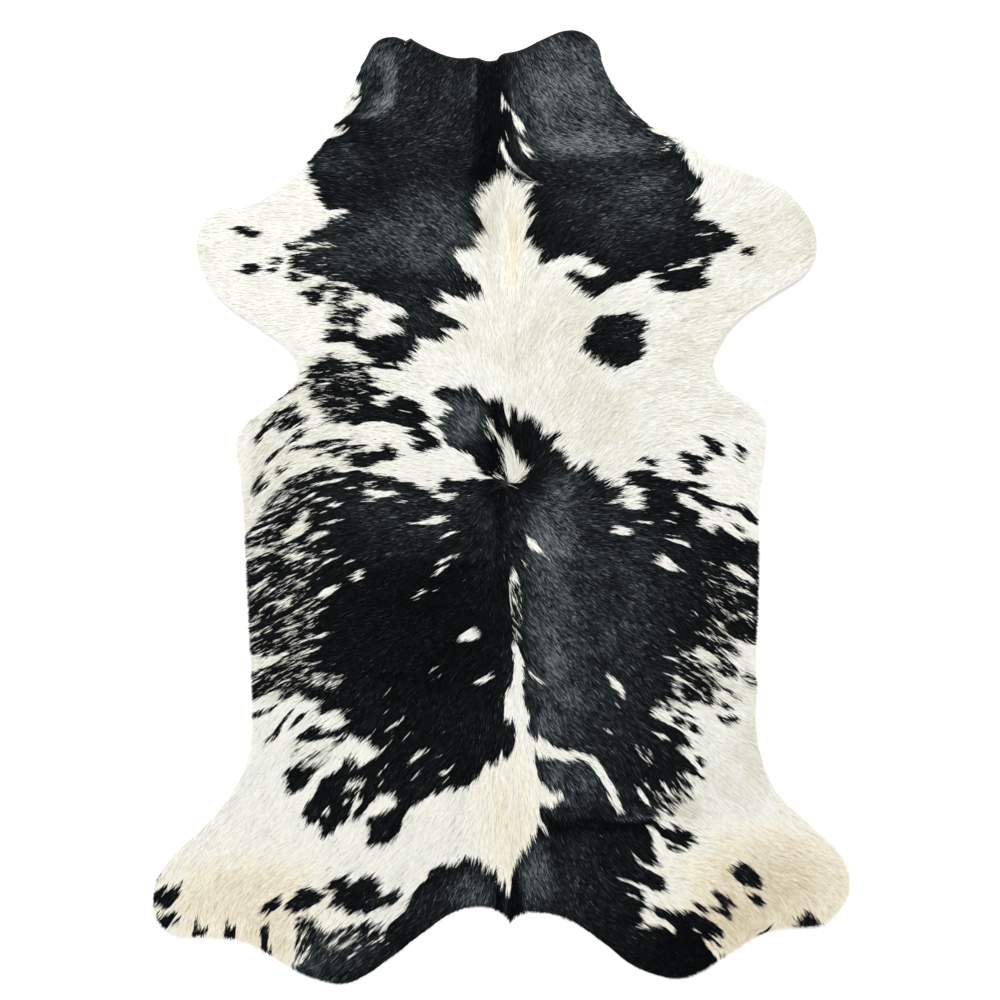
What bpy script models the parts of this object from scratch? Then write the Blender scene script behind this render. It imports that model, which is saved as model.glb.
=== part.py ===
"""Cowhide rug: one whole hide, hair side up, lying flat on a floor.

+X is to the right and +Y towards the neck, seen from above; the underside lies
on z = 0 and the origin is under the middle of the hide's bounding box.
"""

from collections import namedtuple

import bmesh
import bpy
from mathutils import Vector

# Driving dimensions, in metres
HIDE_LENGTH = 2.097
HIDE_WIDTH = 1.528
LEATHER = 0.0025
LYING_HAIR = 0.0030
THICKNESS = LEATHER + LYING_HAIR

# Heights in the tables are in millimetres, other lengths there in centimetres
MM = 0.001

# The outline is drawn as smooth spans between marks, each cut into a few straight pieces
SPAN_STEPS = 5
# In centimetres: the distance between the lines along which the flat sheet can bend, a length
# past every edge, and how near a line may pass a corner before it goes through it
GRID = 4.0
REACH = 110.0
SNAP = 0.02

COAT_BLACK = (0.012, 0.013, 0.016, 1.0)

Mark = namedtuple("Mark", "place across along")
Fold = namedtuple("Fold", "name half_width height path")
Crease = namedtuple("Crease", "name axis offsets at low high")

# Marks round the edge, in centimetres from the middle: across the hide and along it.
NECK_EDGE = (
    Mark("left cheek, outer side", -32.4, 93.0),
    Mark("left cheek, shoulder", -30.0, 98.4),
    Mark("left cheek, corner", -27.9, 101.8),
    Mark("left cheek, top", -24.6, 103.1),
    Mark("cheek slit, outer lip", -22.0, 102.5),
    Mark("cheek slit, bottom", -21.1, 101.9),
    Mark("cheek slit, inner lip", -20.0, 102.7),
    Mark("left nape, slope", -15.4, 100.3),
    Mark("left nape, foot", -10.6, 98.6),
    Mark("left nape, middle", -5.4, 98.4),
    Mark("spine notch, left", -3.0, 97.8),
    Mark("spine notch, step", -1.2, 98.0),
    Mark("spine notch, right", -0.2, 99.2),
    Mark("right nape, foot", 3.2, 99.8),
    Mark("right nape, slope", 9.0, 102.6),
    Mark("right cheek, top", 14.8, 104.6),
    Mark("right cheek, shoulder", 18.6, 103.7),
    Mark("right cheek, corner", 21.2, 101.2),
)
RIGHT_SIDE = (
    Mark("right cheek, outer side", 22.4, 96.8),
    Mark("right throat", 25.2, 91.3),
    Mark("right throat, nick", 28.6, 87.1),
    Mark("right shoulder point", 32.4, 83.5),
    Mark("right foreleg, front root", 38.2, 81.0),
    Mark("right foreleg, front hollow", 43.6, 77.0),
    Mark("right foreleg, front", 51.4, 73.6),
    Mark("right foreleg, front corner", 60.4, 70.2),
    Mark("right foreleg, cut end, front", 65.6, 65.5),
    Mark("right foreleg, cut end, tip", 69.1, 57.2),
    Mark("right foreleg, cut end, rear", 67.0, 51.5),
    Mark("right foreleg, rear", 59.0, 45.8),
    Mark("right foreleg, rear root", 51.6, 40.6),
    Mark("right armpit, upper", 47.6, 35.4),
    Mark("right armpit", 46.3, 31.4),
    Mark("right armpit, lower", 47.6, 27.1),
    Mark("right brisket", 54.2, 22.4),
    Mark("right brisket, corner", 57.4, 19.2),
    Mark("right flank, front", 57.8, 12.4),
    Mark("right flank, hollow", 56.4, 1.0),
    Mark("right flank, swell", 56.3, -12.0),
    Mark("right flank, middle", 56.1, -25.0),
    Mark("right flank, rear hollow", 55.6, -36.0),
    Mark("right flank, tuft", 55.9, -39.6),
    Mark("right flank, rear", 55.6, -46.0),
    Mark("right thigh, start", 56.7, -54.6),
    Mark("right thigh, bend", 60.2, -62.6),
    Mark("right thigh", 67.8, -70.3),
    Mark("right hind leg, front", 74.2, -76.7),
    Mark("right hind leg, tip", 76.3, -82.8),
    Mark("right hind leg, rear corner", 74.6, -88.2),
    Mark("right hind leg, heel", 70.6, -91.8),
)
HIND_EDGE = (
    Mark("right hind leg, rear", 62.0, -92.7),
    Mark("right ham, outer", 57.0, -94.4),
    Mark("right ham", 49.6, -98.6),
    Mark("right ham, lobe", 43.6, -102.4),
    Mark("right ham, lowest", 39.0, -104.0),
    Mark("right ham, inner", 33.8, -103.2),
    Mark("right buttock, outer", 28.0, -100.7),
    Mark("right buttock", 21.6, -95.8),
    Mark("right buttock, inner", 15.4, -91.5),
    Mark("tail root, right", 7.0, -89.5),
    Mark("tail, right", 3.4, -90.0),
    Mark("tail tip", 1.9, -91.8),
    Mark("tail, left", 0.5, -89.9),
    Mark("tail root, left", -3.4, -88.4),
    Mark("left buttock, inner", -9.6, -89.2),
    Mark("left buttock", -16.4, -93.5),
    Mark("left buttock, outer", -24.6, -99.8),
    Mark("left ham, inner", -31.2, -104.1),
    Mark("left ham, lowest", -35.2, -105.1),
    Mark("left ham, lobe", -40.8, -103.9),
    Mark("left ham", -46.4, -101.4),
    Mark("left ham, outer", -52.4, -97.7),
    Mark("left hind leg, rear", -59.0, -95.1),
    Mark("left hind leg, heel", -66.0, -94.5),
)
LEFT_SIDE = (
    Mark("left hind leg, rear corner", -72.4, -94.3),
    Mark("left hind leg, cut end", -75.5, -91.0),
    Mark("left hind leg, tip", -76.5, -87.2),
    Mark("left hind leg, front corner", -75.5, -81.6),
    Mark("left hind leg, front", -71.6, -76.4),
    Mark("left thigh", -65.0, -70.2),
    Mark("left thigh, bend", -58.8, -62.4),
    Mark("left thigh, start", -55.6, -55.2),
    Mark("left flank, rear", -54.7, -44.0),
    Mark("left flank, middle", -55.3, -28.0),
    Mark("left flank, swell", -55.8, -15.0),
    Mark("left flank, hollow", -56.4, -3.0),
    Mark("left flank, front", -57.6, 8.6),
    Mark("left brisket, corner", -58.3, 13.6),
    Mark("left brisket", -56.6, 17.8),
    Mark("left brisket, upper", -50.6, 22.2),
    Mark("left armpit, lower", -46.2, 25.7),
    Mark("left armpit", -44.6, 29.4),
    Mark("left armpit, upper", -46.2, 33.8),
    Mark("left foreleg, rear root", -51.6, 38.0),
    Mark("left foreleg, rear", -60.4, 44.2),
    Mark("left foreleg, cut end, rear", -64.6, 49.3),
    Mark("left foreleg, cut end", -66.9, 56.0),
    Mark("left foreleg, tip", -65.9, 61.2),
    Mark("left foreleg, front corner", -61.8, 65.1),
    Mark("left foreleg, front", -55.0, 66.0),
    Mark("left foreleg, front hollow", -49.6, 69.0),
    Mark("left foreleg, front root", -43.8, 73.8),
    Mark("left shoulder point", -39.2, 79.2),
    Mark("left throat", -36.4, 84.2),
)
OUTLINE = NECK_EDGE + RIGHT_SIDE + HIND_EDGE + LEFT_SIDE
POINTED = {"cheek slit, bottom", "cheek slit, inner lip", "spine notch, step", "tail tip"}

# Raised folds: half width in centimetres, height in millimetres, and the path of the crest,
# in centimetres. A path on the edge makes a lip that stands off the floor.
FOLDS = (
    Fold("spine ridge", 2.6, 3.6, ((2.2, 60.0), (1.4, 20.0), (2.0, -20.0), (1.6, -86.0))),
    Fold("nape fold, left", 2.2, 5.0, ((-6.0, 99.0), (-5.4, 86.0), (-4.2, 73.0))),
    Fold("nape fold, right", 2.6, 5.5, ((3.0, 100.0), (3.0, 84.0), (2.2, 60.0))),
    Fold("left cheek fold", 3.2, 6.0, ((-22.0, 102.0), (-22.8, 94.0), (-25.4, 89.0), (-31.0, 86.0))),
    Fold("right shoulder crease", 3.0, 2.6, ((8.0, 81.5), (24.0, 82.5), (31.0, 82.0))),
    Fold("left shoulder crease", 3.0, 2.0, ((-32.0, 82.5), (-8.0, 82.5))),
    Fold("left barrel crease", 2.4, 3.2, ((-40.0, -11.0), (-24.0, -10.6), (-6.0, -11.4))),
    Fold("right haunch crease", 2.6, 4.4, ((9.0, -67.6), (22.0, -68.0), (34.0, -67.0))),
    Fold("left haunch crease", 2.6, 3.2, ((-42.0, -66.8), (-33.0, -67.4), (-20.0, -67.6))),
    Fold("left foreleg lip", 7.5, 8.0, ((-63.0, 47.0), (-55.0, 40.5), (-47.5, 35.5))),
    Fold("right foreleg lip", 7.5, 9.0, ((66.0, 50.6), (57.0, 44.5), (50.0, 39.0), (48.0, 36.0))),
    Fold("right foreleg front lip", 5.0, 5.0, ((35.0, 82.6), (43.6, 77.0), (51.4, 73.6))),
    Fold("left foreleg front lip", 5.0, 4.0, ((-52.0, 67.6), (-46.0, 72.0), (-41.0, 77.0))),
    Fold("left hind heel lip", 4.5, 4.0, ((-68.0, -94.6), (-61.0, -94.8))),
    Fold("right hind heel lip", 5.0, 4.0, ((62.0, -92.8), (70.0, -92.0))),
    Fold("right flank wave", 6.0, 3.0, ((56.4, -2.0), (56.4, -12.0))),
    Fold("left flank wave", 6.0, 3.0, ((-56.2, -6.0), (-55.6, -18.0))),
)

# Extra bend lines beside the narrow folds: distances from the line at "at", in centimetres,
# kept between low and high of the other direction.
CREASES = (
    Crease("spine", "across", (-2.6, -1.3, 0.0, 1.3, 2.6), 1.8, -92.0, 60.0),
    Crease("nape folds", "across", (-4.2, -2.8, -1.6, 0.0, 1.4, 2.8, 4.2, 5.6, 7.0), -3.6, 60.0, 100.0),
    Crease("left cheek, upright", "across", (-5.0, -3.4, -1.8, 0.0, 1.6, 3.2), -23.0, 84.0, 104.0),
    Crease("left cheek, level", "along", (-3.4, -1.8, 0.0, 1.8, 3.4), 88.0, -34.0, -18.0),
    Crease("shoulder", "along", (-2.4, -1.0, 1.0, 2.4), 82.4, -36.0, 36.0),
    Crease("barrel", "along", (-2.2, -1.0, 0.4, 1.6), -11.0, -43.0, -3.0),
    Crease("haunch", "along", (-2.4, -1.0, 0.4, 1.8), -67.4, -45.0, 37.0),
)


def template_scale():
    """The factor and the middle that bring the marks to the driving length and width."""
    across = [mark.across for mark in OUTLINE]
    along = [mark.along for mark in OUTLINE]
    middle = Vector(((max(across) + min(across)) / 2, (max(along) + min(along)) / 2, 0.0))
    width = max(across) - min(across)
    length = max(along) - min(along)
    return middle, HIDE_WIDTH / width, HIDE_LENGTH / length


def clear_scene():
    for item in list(bpy.data.objects):
        bpy.data.objects.remove(item, do_unlink=True)


def outline_mesh():
    """The flat outline as a filled curve through the marks, turned into a mesh."""
    curve = bpy.data.curves.new("hide_outline", "CURVE")
    curve.dimensions = "2D"
    curve.fill_mode = "BOTH"
    curve.resolution_u = SPAN_STEPS
    spline = curve.splines.new("BEZIER")
    spline.bezier_points.add(len(OUTLINE) - 1)
    spline.use_cyclic_u = True
    for point, mark in zip(spline.bezier_points, OUTLINE):
        point.co = (mark.across, mark.along, 0.0)
        handle = "VECTOR" if mark.place in POINTED else "AUTO"
        point.handle_left_type = handle
        point.handle_right_type = handle
    holder = bpy.data.objects.new("hide_outline", curve)
    bpy.context.scene.collection.objects.link(holder)
    bpy.context.view_layer.update()
    mesh = bpy.data.meshes.new_from_object(holder.evaluated_get(bpy.context.evaluated_depsgraph_get()))
    bpy.data.objects.remove(holder, do_unlink=True)
    return mesh


def cut_line(bm, axis, place, low=-REACH, high=REACH):
    """A bend line at one place, through the faces whose middle is between low and high."""
    across = axis == "across"
    faces = [f for f in bm.faces if low <= f.calc_center_median()[1 if across else 0] <= high]
    edges = {e for f in faces for e in f.edges}
    verts = {v for f in faces for v in f.verts}
    bmesh.ops.bisect_plane(
        bm,
        geom=list(verts) + list(edges) + faces,
        plane_co=(place, 0.0, 0.0) if across else (0.0, place, 0.0),
        plane_no=(1.0, 0.0, 0.0) if across else (0.0, 1.0, 0.0),
        dist=SNAP,
    )


def lay_grid(bm):
    """Bend lines all over the sheet, closer together beside the folds."""
    steps = int(REACH / GRID)
    for step in range(-steps, steps + 1):
        cut_line(bm, "along", (step + 0.5) * GRID)
    for step in range(-steps, steps + 1):
        cut_line(bm, "across", (step + 0.5) * GRID)
    for crease in CREASES:
        for offset in crease.offsets:
            cut_line(bm, crease.axis, crease.at + offset, crease.low, crease.high)


def distance_to(path, x, y):
    nearest = REACH
    for (x0, y0), (x1, y1) in zip(path, path[1:]):
        dx, dy = x1 - x0, y1 - y0
        part = ((x - x0) * dx + (y - y0) * dy) / (dx * dx + dy * dy)
        part = min(max(part, 0.0), 1.0)
        nearest = min(nearest, Vector((x - x0 - part * dx, y - y0 - part * dy)).length)
    return nearest


def relief(x, y):
    """How far the hide stands off the floor at a place on the template, in metres."""
    height = 0.0
    for fold in FOLDS:
        part = distance_to(fold.path, x, y) / fold.half_width
        if part < 1.0:
            height += fold.height * MM * (1.0 - part * part) ** 2
    return height


def coat_material():
    material = bpy.data.materials.new("cowhide, hair on")
    material.use_nodes = True
    shader = material.node_tree.nodes["Principled BSDF"]
    shader.inputs["Base Color"].default_value = COAT_BLACK
    shader.inputs["Roughness"].default_value = 0.55
    shader.inputs["Metallic"].default_value = 0.0
    material.diffuse_color = COAT_BLACK
    return material


def make_hide(collection):
    mesh = outline_mesh()
    bm = bmesh.new()
    bm.from_mesh(mesh)
    bmesh.ops.remove_doubles(bm, verts=bm.verts, dist=0.0001)
    bmesh.ops.dissolve_faces(bm, faces=bm.faces)
    lay_grid(bm)
    bmesh.ops.triangulate(bm, faces=bm.faces)
    middle, scale_across, scale_along = template_scale()
    for vertex in bm.verts:
        top = THICKNESS + relief(vertex.co.x, vertex.co.y)
        flat = vertex.co - middle
        vertex.co = (flat.x * scale_across, flat.y * scale_along, top)
    if sum(face.normal.z * face.calc_area() for face in bm.faces) < 0.0:
        bmesh.ops.reverse_faces(bm, faces=bm.faces)
    bm.to_mesh(mesh)
    bm.free()
    mesh.name = "hide"
    mesh.materials.clear()
    mesh.materials.append(coat_material())
    hide = bpy.data.objects.new("hide", mesh)
    collection.objects.link(hide)
    body = hide.modifiers.new("leather and lying hair", "SOLIDIFY")
    body.thickness = THICKNESS
    body.offset = -1.0
    body.use_even_offset = False
    return hide


def main():
    clear_scene()
    collection = bpy.data.collections.new("Cowhide rug")
    bpy.context.scene.collection.children.link(collection)
    make_hide(collection)


main()
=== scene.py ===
import math

import bmesh
import bpy
import numpy as np
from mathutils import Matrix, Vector
from mathutils.bvhtree import BVHTree


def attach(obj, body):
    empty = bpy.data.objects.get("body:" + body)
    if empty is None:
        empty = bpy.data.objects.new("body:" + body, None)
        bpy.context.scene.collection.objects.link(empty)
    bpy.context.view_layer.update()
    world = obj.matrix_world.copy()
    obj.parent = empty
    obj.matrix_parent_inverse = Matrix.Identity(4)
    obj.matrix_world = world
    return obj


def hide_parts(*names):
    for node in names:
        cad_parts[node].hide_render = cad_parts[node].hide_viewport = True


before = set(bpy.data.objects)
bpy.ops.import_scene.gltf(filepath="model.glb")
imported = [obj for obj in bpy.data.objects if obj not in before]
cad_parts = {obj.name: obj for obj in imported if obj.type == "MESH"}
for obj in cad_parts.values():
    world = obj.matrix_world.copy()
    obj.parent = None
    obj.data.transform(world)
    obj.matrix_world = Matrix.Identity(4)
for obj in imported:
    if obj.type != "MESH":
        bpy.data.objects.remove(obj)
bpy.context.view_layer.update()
scene = bpy.context.scene
chance = np.random.default_rng(27)


def colour(code):
    # sRGB hex to the linear values that Blender works in
    parts = [int(code[i:i + 2], 16) / 255 for i in (1, 3, 5)]
    return tuple(c / 12.92 if c <= 0.04045 else ((c + 0.055) / 1.055) ** 2.4 for c in parts) + (1.0,)


def addNode(material, kind, settings=None, values=None, links=None):
    # settings are the node's own fields, values its sockets, links maps a socket to another node's output
    node = material.node_tree.nodes.new(kind)
    for field, value in (settings or {}).items():
        setattr(node, field, value)
    for socket, value in (values or {}).items():
        node.inputs[socket].default_value = value
    for socket, output in (links or {}).items():
        material.node_tree.links.new(output, node.inputs[socket])
    return node


def newMaterial(name):
    material = bpy.data.materials.new(name)
    material.use_nodes = True
    return material, material.node_tree.nodes["Principled BSDF"]


def setRamp(ramp, stops):
    # stops are (place, hex colour)
    while len(ramp.elements) > 1:
        ramp.elements.remove(ramp.elements[0])
    ramp.elements[0].position, ramp.elements[0].color = stops[0][0], colour(stops[0][1])
    for place, code in stops[1:]:
        ramp.elements.new(place).color = colour(code)


# ---- camera, floor and light ----
# The photograph looks straight down at the hide, neck at the top.
view = {"centre": (-0.0027, 0.0135), "height": 3.2, "width": 2.2, "sensor": 36.0}

cameraData = bpy.data.cameras.new("camera")
cameraData.sensor_width = view["sensor"]
cameraData.lens = view["sensor"] * view["height"] / view["width"]
camera = bpy.data.objects.new("camera", cameraData)
camera.location = (*view["centre"], view["height"])
scene.collection.objects.link(camera)
scene.camera = camera

studio = {"floor": 60.0, "floorColour": "#fbfbfb", "sky": "#ffffff", "skyStrength": 1.0,
          "lampSize": 2.4, "lampPower": 54.0, "lampPlace": (-0.5, 2.0, 2.75)}

bm = bmesh.new()
bmesh.ops.create_grid(bm, x_segments=1, y_segments=1, size=studio["floor"] / 2)
floorMesh = bpy.data.meshes.new("floor")
bm.to_mesh(floorMesh)
bm.free()
floor = bpy.data.objects.new("floor", floorMesh)
scene.collection.objects.link(floor)
paper, surface = newMaterial("backdropPaper")  # matt, so that nothing mirrors in it
surface.inputs["Base Color"].default_value = colour(studio["floorColour"])
surface.inputs["Roughness"].default_value = 0.9
floorMesh.materials.append(paper)

world = bpy.data.worlds.new("studio")
world.use_nodes = True
world.node_tree.nodes["Background"].inputs["Color"].default_value = colour(studio["sky"])
world.node_tree.nodes["Background"].inputs["Strength"].default_value = studio["skyStrength"]
scene.world = world
scene.view_settings.view_transform = "Standard"

lampData = bpy.data.lights.new("softbox", "AREA")
lampData.size = studio["lampSize"]
lampData.energy = studio["lampPower"]
lamp = bpy.data.objects.new("softbox", lampData)
lamp.location = studio["lampPlace"]
lamp.rotation_euler = (-Vector(lamp.location)).to_track_quat("-Z", "Y").to_euler()
scene.collection.objects.link(lamp)
print("camera, floor and light are in place")

# ---- the natural pattern of the coat ----
# All places are centimetres from the hide's middle: across to the right, along to the neck.
# The coat is white. These are the outlines of its black patches, and then of white hair that lies over them.
blackPatches = {
    "left neck and shoulder": [
        [(1.2, 106), (-34, 106), (-31.2, 97.6), (-32.2, 93.4), (-31.2, 94.6), (-30.7, 92.4), (-30.9, 90.7),
         (-33.4, 89.1), (-31.3, 89.5), (-31.2, 88), (-33, 86.2), (-36.6, 83.9), (-36.9, 83.2), (-34.4, 83.4),
         (-33.2, 82.4), (-36.2, 80.8), (-38.4, 80.5), (-42.6, 75.4), (-41.4, 74.2), (-41.9, 72.4),
         (-41.2, 70.4), (-40, 69.8), (-39.8, 68), (-38.8, 66.4), (-38.4, 64.9), (-33.2, 65.1), (-33.4, 64.4),
         (-37.9, 61.9), (-40.2, 60.2), (-42.7, 58.6), (-44.4, 57.9), (-47.6, 57.4), (-46.2, 56.2),
         (-43, 55.6), (-45.8, 55), (-46.2, 53.6), (-45.6, 52), (-43.5, 51.2), (-41, 50.7), (-38.3, 50.3),
         (-37, 49.2), (-33, 48.8), (-31.4, 47.2), (-29.5, 46.2), (-27, 46), (-26, 44.8), (-24, 44.3),
         (-22.3, 43.7), (-21, 42.7), (-20.8, 42.2), (-21.5, 41.3), (-23, 41.2), (-24.2, 40.7), (-23.2, 39.8),
         (-22, 39.2), (-21.3, 37.6), (-23, 37.3), (-26.2, 37), (-28, 36.2), (-30, 36.5), (-31.5, 37.3),
         (-30.5, 38.2), (-31.8, 38.9), (-33.5, 37.6), (-35, 38.7), (-37, 38.6), (-37.6, 37.5), (-38.9, 36.4),
         (-38, 35.4), (-36, 35.8), (-32.5, 36), (-31.4, 34.8), (-30.3, 33.8), (-29.8, 32.7), (-27.5, 32.2),
         (-27.2, 31), (-25.5, 31.2), (-22, 31.2), (-19, 31.7), (-19, 32.3), (-20.3, 33.8), (-19, 34.6),
         (-17.5, 35.2), (-19, 36.3), (-16, 36.4), (-14.6, 36.2), (-13, 35.6), (-12.6, 36.6), (-11, 36.8),
         (-12.6, 38), (-14.2, 38.9), (-11, 38.6), (-7.4, 38.7), (-9.2, 40.2), (-10.8, 41), (-13, 41.8),
         (-15, 43), (-15, 44.4), (-12, 44.8), (-15, 46.2), (-11.5, 46.2), (-8, 45.2), (-6, 45.8), (-4, 46.8),
         (-5, 48.5), (-7, 50), (-8.8, 51.4), (-9.2, 53), (-10.4, 54.4), (-10.2, 55.2), (-7.4, 55.6),
         (-4.8, 57.4), (-6.6, 58.4), (-4.6, 59.6), (-3.6, 60.4), (-4.4, 62), (-5.2, 63.6), (-6.2, 65),
         (-5.8, 67), (-5, 68.6), (-4.4, 70.3), (-2.8, 71.4), (-1, 72.6), (1.2, 73.2)]],
    "right neck and shoulder": [
        [(1.2, 106), (26, 106), (31, 90), (29.6, 86.3), (31.8, 83.8), (33.2, 81.6), (34.8, 80.9),
         (36.2, 80.9), (37.3, 80.2), (38, 78.2), (39.2, 78), (40, 76.3), (41.2, 74), (42.5, 72.3),
         (43.9, 71.2), (43.8, 70.2), (43.2, 69.2), (41.7, 68.4), (40.8, 67.3), (42.8, 66.5), (43.4, 65.8),
         (43, 64.9), (42.3, 64.6), (42, 63.3), (43.5, 62.7), (46, 62.6), (45.5, 62), (47.5, 61.8),
         (46.8, 61.2), (47.6, 60.5), (50.8, 59.3), (51.3, 58.3), (50.5, 56.9), (49, 56.3), (48.5, 55.5),
         (46.2, 55.3), (45.8, 54.8), (46.6, 54.2), (45, 53.2), (45.5, 52.8), (43.8, 51.8), (43.5, 50.6),
         (44.5, 50), (44.9, 49), (43.5, 47.7), (40.5, 46.9), (38, 46.6), (35.5, 47), (33.3, 48.2),
         (36.5, 49.2), (31.5, 49.8), (36, 51), (31, 51.3), (30, 50.6), (28, 49), (26, 48.7), (24.3, 48.5),
         (23.3, 47.3), (21.5, 46.3), (20.5, 45.5), (18.7, 45.4), (19.8, 46.2), (17.5, 46.6), (18.5, 47.3),
         (15.8, 47.4), (17, 48.6), (15.5, 49.3), (13.2, 50.2), (15, 50.9), (15.8, 51.3), (16.7, 50.2),
         (19, 50), (20.5, 49.7), (23.5, 51.7), (22, 52), (20, 52.5), (18.8, 53), (19.5, 54), (16, 55),
         (14, 54.6), (12.5, 54.3), (9.2, 52.6), (9.8, 53.8), (7.8, 53), (8.2, 54.5), (8.5, 55.5), (7.3, 56),
         (6.8, 57.5), (6.3, 58.8), (5.3, 59.5), (6, 61), (7.4, 63.3), (6, 64), (7.4, 65.4), (5.6, 66.2),
         (6.2, 67.5), (5.3, 68.5), (6.6, 69.8), (9, 70.4), (5, 71.4), (3, 70.6), (3.7, 71.3), (2, 73),
         (1.2, 75)]],
    "right foreleg spot": [
        [(52.3, 55.2), (53, 56.3), (54.3, 56.8), (55, 55.9), (55.8, 55.1), (54.5, 54.6), (53.8, 55)]],
    "round spot": [
        [(20.5, 41), (22.5, 41.2), (26, 41.8), (28.2, 42.3), (29.7, 41.6), (30.4, 40.6), (31.3, 39.8),
         (30.6, 38.5), (30.7, 36.5), (31.2, 35), (30.7, 33), (29.2, 31.5), (28, 30.9), (25.3, 29.9),
         (24.2, 30.2), (22.5, 30.9), (21.3, 31.9), (19.5, 32.5), (18.5, 33.4), (17.2, 34.6), (18, 35.2),
         (17.8, 36), (19.2, 36.8), (18.3, 37.7), (19.8, 38.8), (19.7, 39.8)]],
    "left foreleg spot, front": [
        [(-59, 60.6), (-57.8, 61.1), (-55.8, 61.2), (-55.6, 60.7), (-54, 60.6), (-52.8, 60), (-53.2, 59.2),
         (-54.6, 58.7), (-56.2, 59.4), (-57, 60)]],
    "left foreleg spot, rear": [
        [(-56.6, 51), (-56.3, 52.6), (-55, 53.1), (-53.4, 52.9), (-53.2, 52), (-54, 50.7), (-55.5, 50.6)]],
    "left foreleg flecks": [
        [(-51.2, 51.6), (-50, 52.2), (-48.4, 52.2), (-50, 51.2), (-50.6, 50.7)],
        [(-50.2, 54.4), (-49, 54.5), (-48, 53.6), (-48.6, 52.8), (-50, 52.9)],
        [(-46.8, 50.2), (-46.3, 51.3), (-44.5, 50.8), (-43, 50.2), (-42.5, 49.6), (-44.5, 49.1),
         (-46.2, 49.3)]],
    "left shoulder strands": [
        [(-44.3, 46.6), (-42.8, 47.2), (-41, 46.9), (-40, 48.2), (-38, 48.8), (-36, 48.4), (-36.5, 47.7),
         (-33, 47.9), (-31.5, 47.2), (-33.5, 46.9), (-36, 46.8), (-38.5, 47), (-39.5, 46.4), (-38.6, 45.2),
         (-40.5, 43.8), (-42, 44.2), (-41, 45.6), (-43, 45.9)],
        [(-37.2, 45.2), (-35.8, 46.2), (-34.2, 47), (-32.8, 46.9), (-32.4, 46), (-33.6, 45.2), (-35, 44.2),
         (-36.4, 43.6), (-37.4, 44.2)],
        [(-37.8, 42.2), (-36.5, 43), (-35, 43.9), (-33.8, 43.2), (-32.5, 42.3), (-31, 43.6), (-31, 44.3),
         (-29.8, 43.6), (-29, 43), (-30, 42.3), (-30, 41.5), (-31.8, 41), (-31, 40.2), (-30, 39.2),
         (-31.5, 39), (-33, 39.5), (-34.8, 39.2), (-36.5, 39.9), (-38, 40.7), (-36.8, 41.4)]],
    "left brisket": [
        [(-40.3, 32), (-38.2, 33.4), (-36.8, 32.9), (-36.8, 32.3), (-34.8, 31.8), (-34, 31.2), (-31.3, 31.5),
         (-30.3, 31), (-27.5, 31.2), (-26.9, 31.6), (-24.9, 30.8), (-22, 30.3), (-21, 29.5), (-24, 29.8),
         (-28, 30.2), (-30.5, 30), (-29, 28.7), (-26.7, 27.8), (-28.5, 27), (-28.3, 26.1), (-26, 25.3),
         (-24.4, 24.7), (-26, 24.2), (-27.7, 24.1), (-28, 23.5), (-26.6, 22.9), (-27.9, 22.3), (-27.2, 21.7),
         (-25.3, 21.2), (-24.6, 22.5), (-23.4, 23.1), (-22, 24.2), (-20, 23.2), (-18.5, 22.6), (-17.3, 21.4),
         (-16.6, 20.5), (-15.6, 19.2), (-15.2, 18.6), (-16, 18.1), (-17.8, 18), (-19.3, 18.3), (-17.5, 17.5),
         (-16.3, 16.6), (-16, 15.6), (-14.2, 14.4), (-16.3, 15.5), (-18, 16.4), (-20, 16.9), (-22.5, 17.6),
         (-25, 18.3), (-27, 18.5), (-29.5, 18.3), (-30.8, 18), (-31.8, 17.5), (-32.6, 17.9), (-33, 18.4),
         (-35.5, 18.3), (-38, 18), (-39.3, 17.8), (-38.6, 18.4), (-36.6, 19), (-38, 19.3), (-37, 20.2),
         (-39.8, 20.2), (-38, 21), (-40.5, 21.7), (-39.2, 22.2), (-39.5, 22.9), (-41.3, 23.4), (-41.6, 24.2),
         (-41.8, 25.8), (-41.5, 26.8), (-40.2, 27.6), (-42.9, 28.4), (-40.5, 28.9), (-42.9, 29.4),
         (-41.8, 30.3), (-40, 31.1), (-39.4, 31.6)]],
    "left brisket, inner blob": [
        [(-21, 15.7), (-19.7, 16.4), (-18, 16.2), (-16.3, 15.5), (-14.5, 14.6), (-13, 13.8), (-13.8, 13.3),
         (-14.5, 12.6), (-15.5, 12.1), (-17.5, 11.2), (-18.7, 12), (-19.3, 13.2), (-18, 14), (-17, 14.2),
         (-18.5, 14.8), (-20, 15.2)]],
    "left brisket strands": [
        [(-50.3, 22.2), (-49.6, 23.5), (-47.8, 24.6), (-45.6, 25.6), (-43.8, 26.8), (-43, 27.3),
         (-42.3, 26.8), (-43.7, 26), (-45.5, 25), (-47.6, 24.1), (-48.8, 23)],
        [(-54, 14.2), (-53.8, 15.2), (-52.8, 16.6), (-52, 17.8), (-51, 19.2), (-50, 20.6), (-48.8, 20.8),
         (-47, 21.5), (-45.3, 22), (-44.8, 21.5), (-45.5, 20.5), (-43.6, 19.8), (-42.8, 19), (-43.4, 18),
         (-44.5, 17.4), (-46.3, 16.9), (-47.6, 16.5), (-48.2, 15.7), (-48.9, 17), (-50, 17.3), (-51.5, 16.6),
         (-52.6, 15.2), (-53.2, 13.6)],
        [(-45.6, 15.6), (-44, 16.9), (-43, 17.1), (-43.2, 16.2), (-42.6, 15.8), (-44, 14.9), (-45.2, 14.1),
         (-47, 13.4), (-46.2, 14.3)],
        [(-52, 9.2), (-51.4, 10.2), (-50.4, 11.4), (-49, 12.4), (-47.6, 12.8), (-49, 11.6), (-50.2, 10.2),
         (-51.3, 9.2)],
        [(-46.5, 12.2), (-46, 13), (-44, 13), (-41.5, 13.2), (-40, 14), (-38.3, 14.6), (-37, 14.4),
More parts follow.
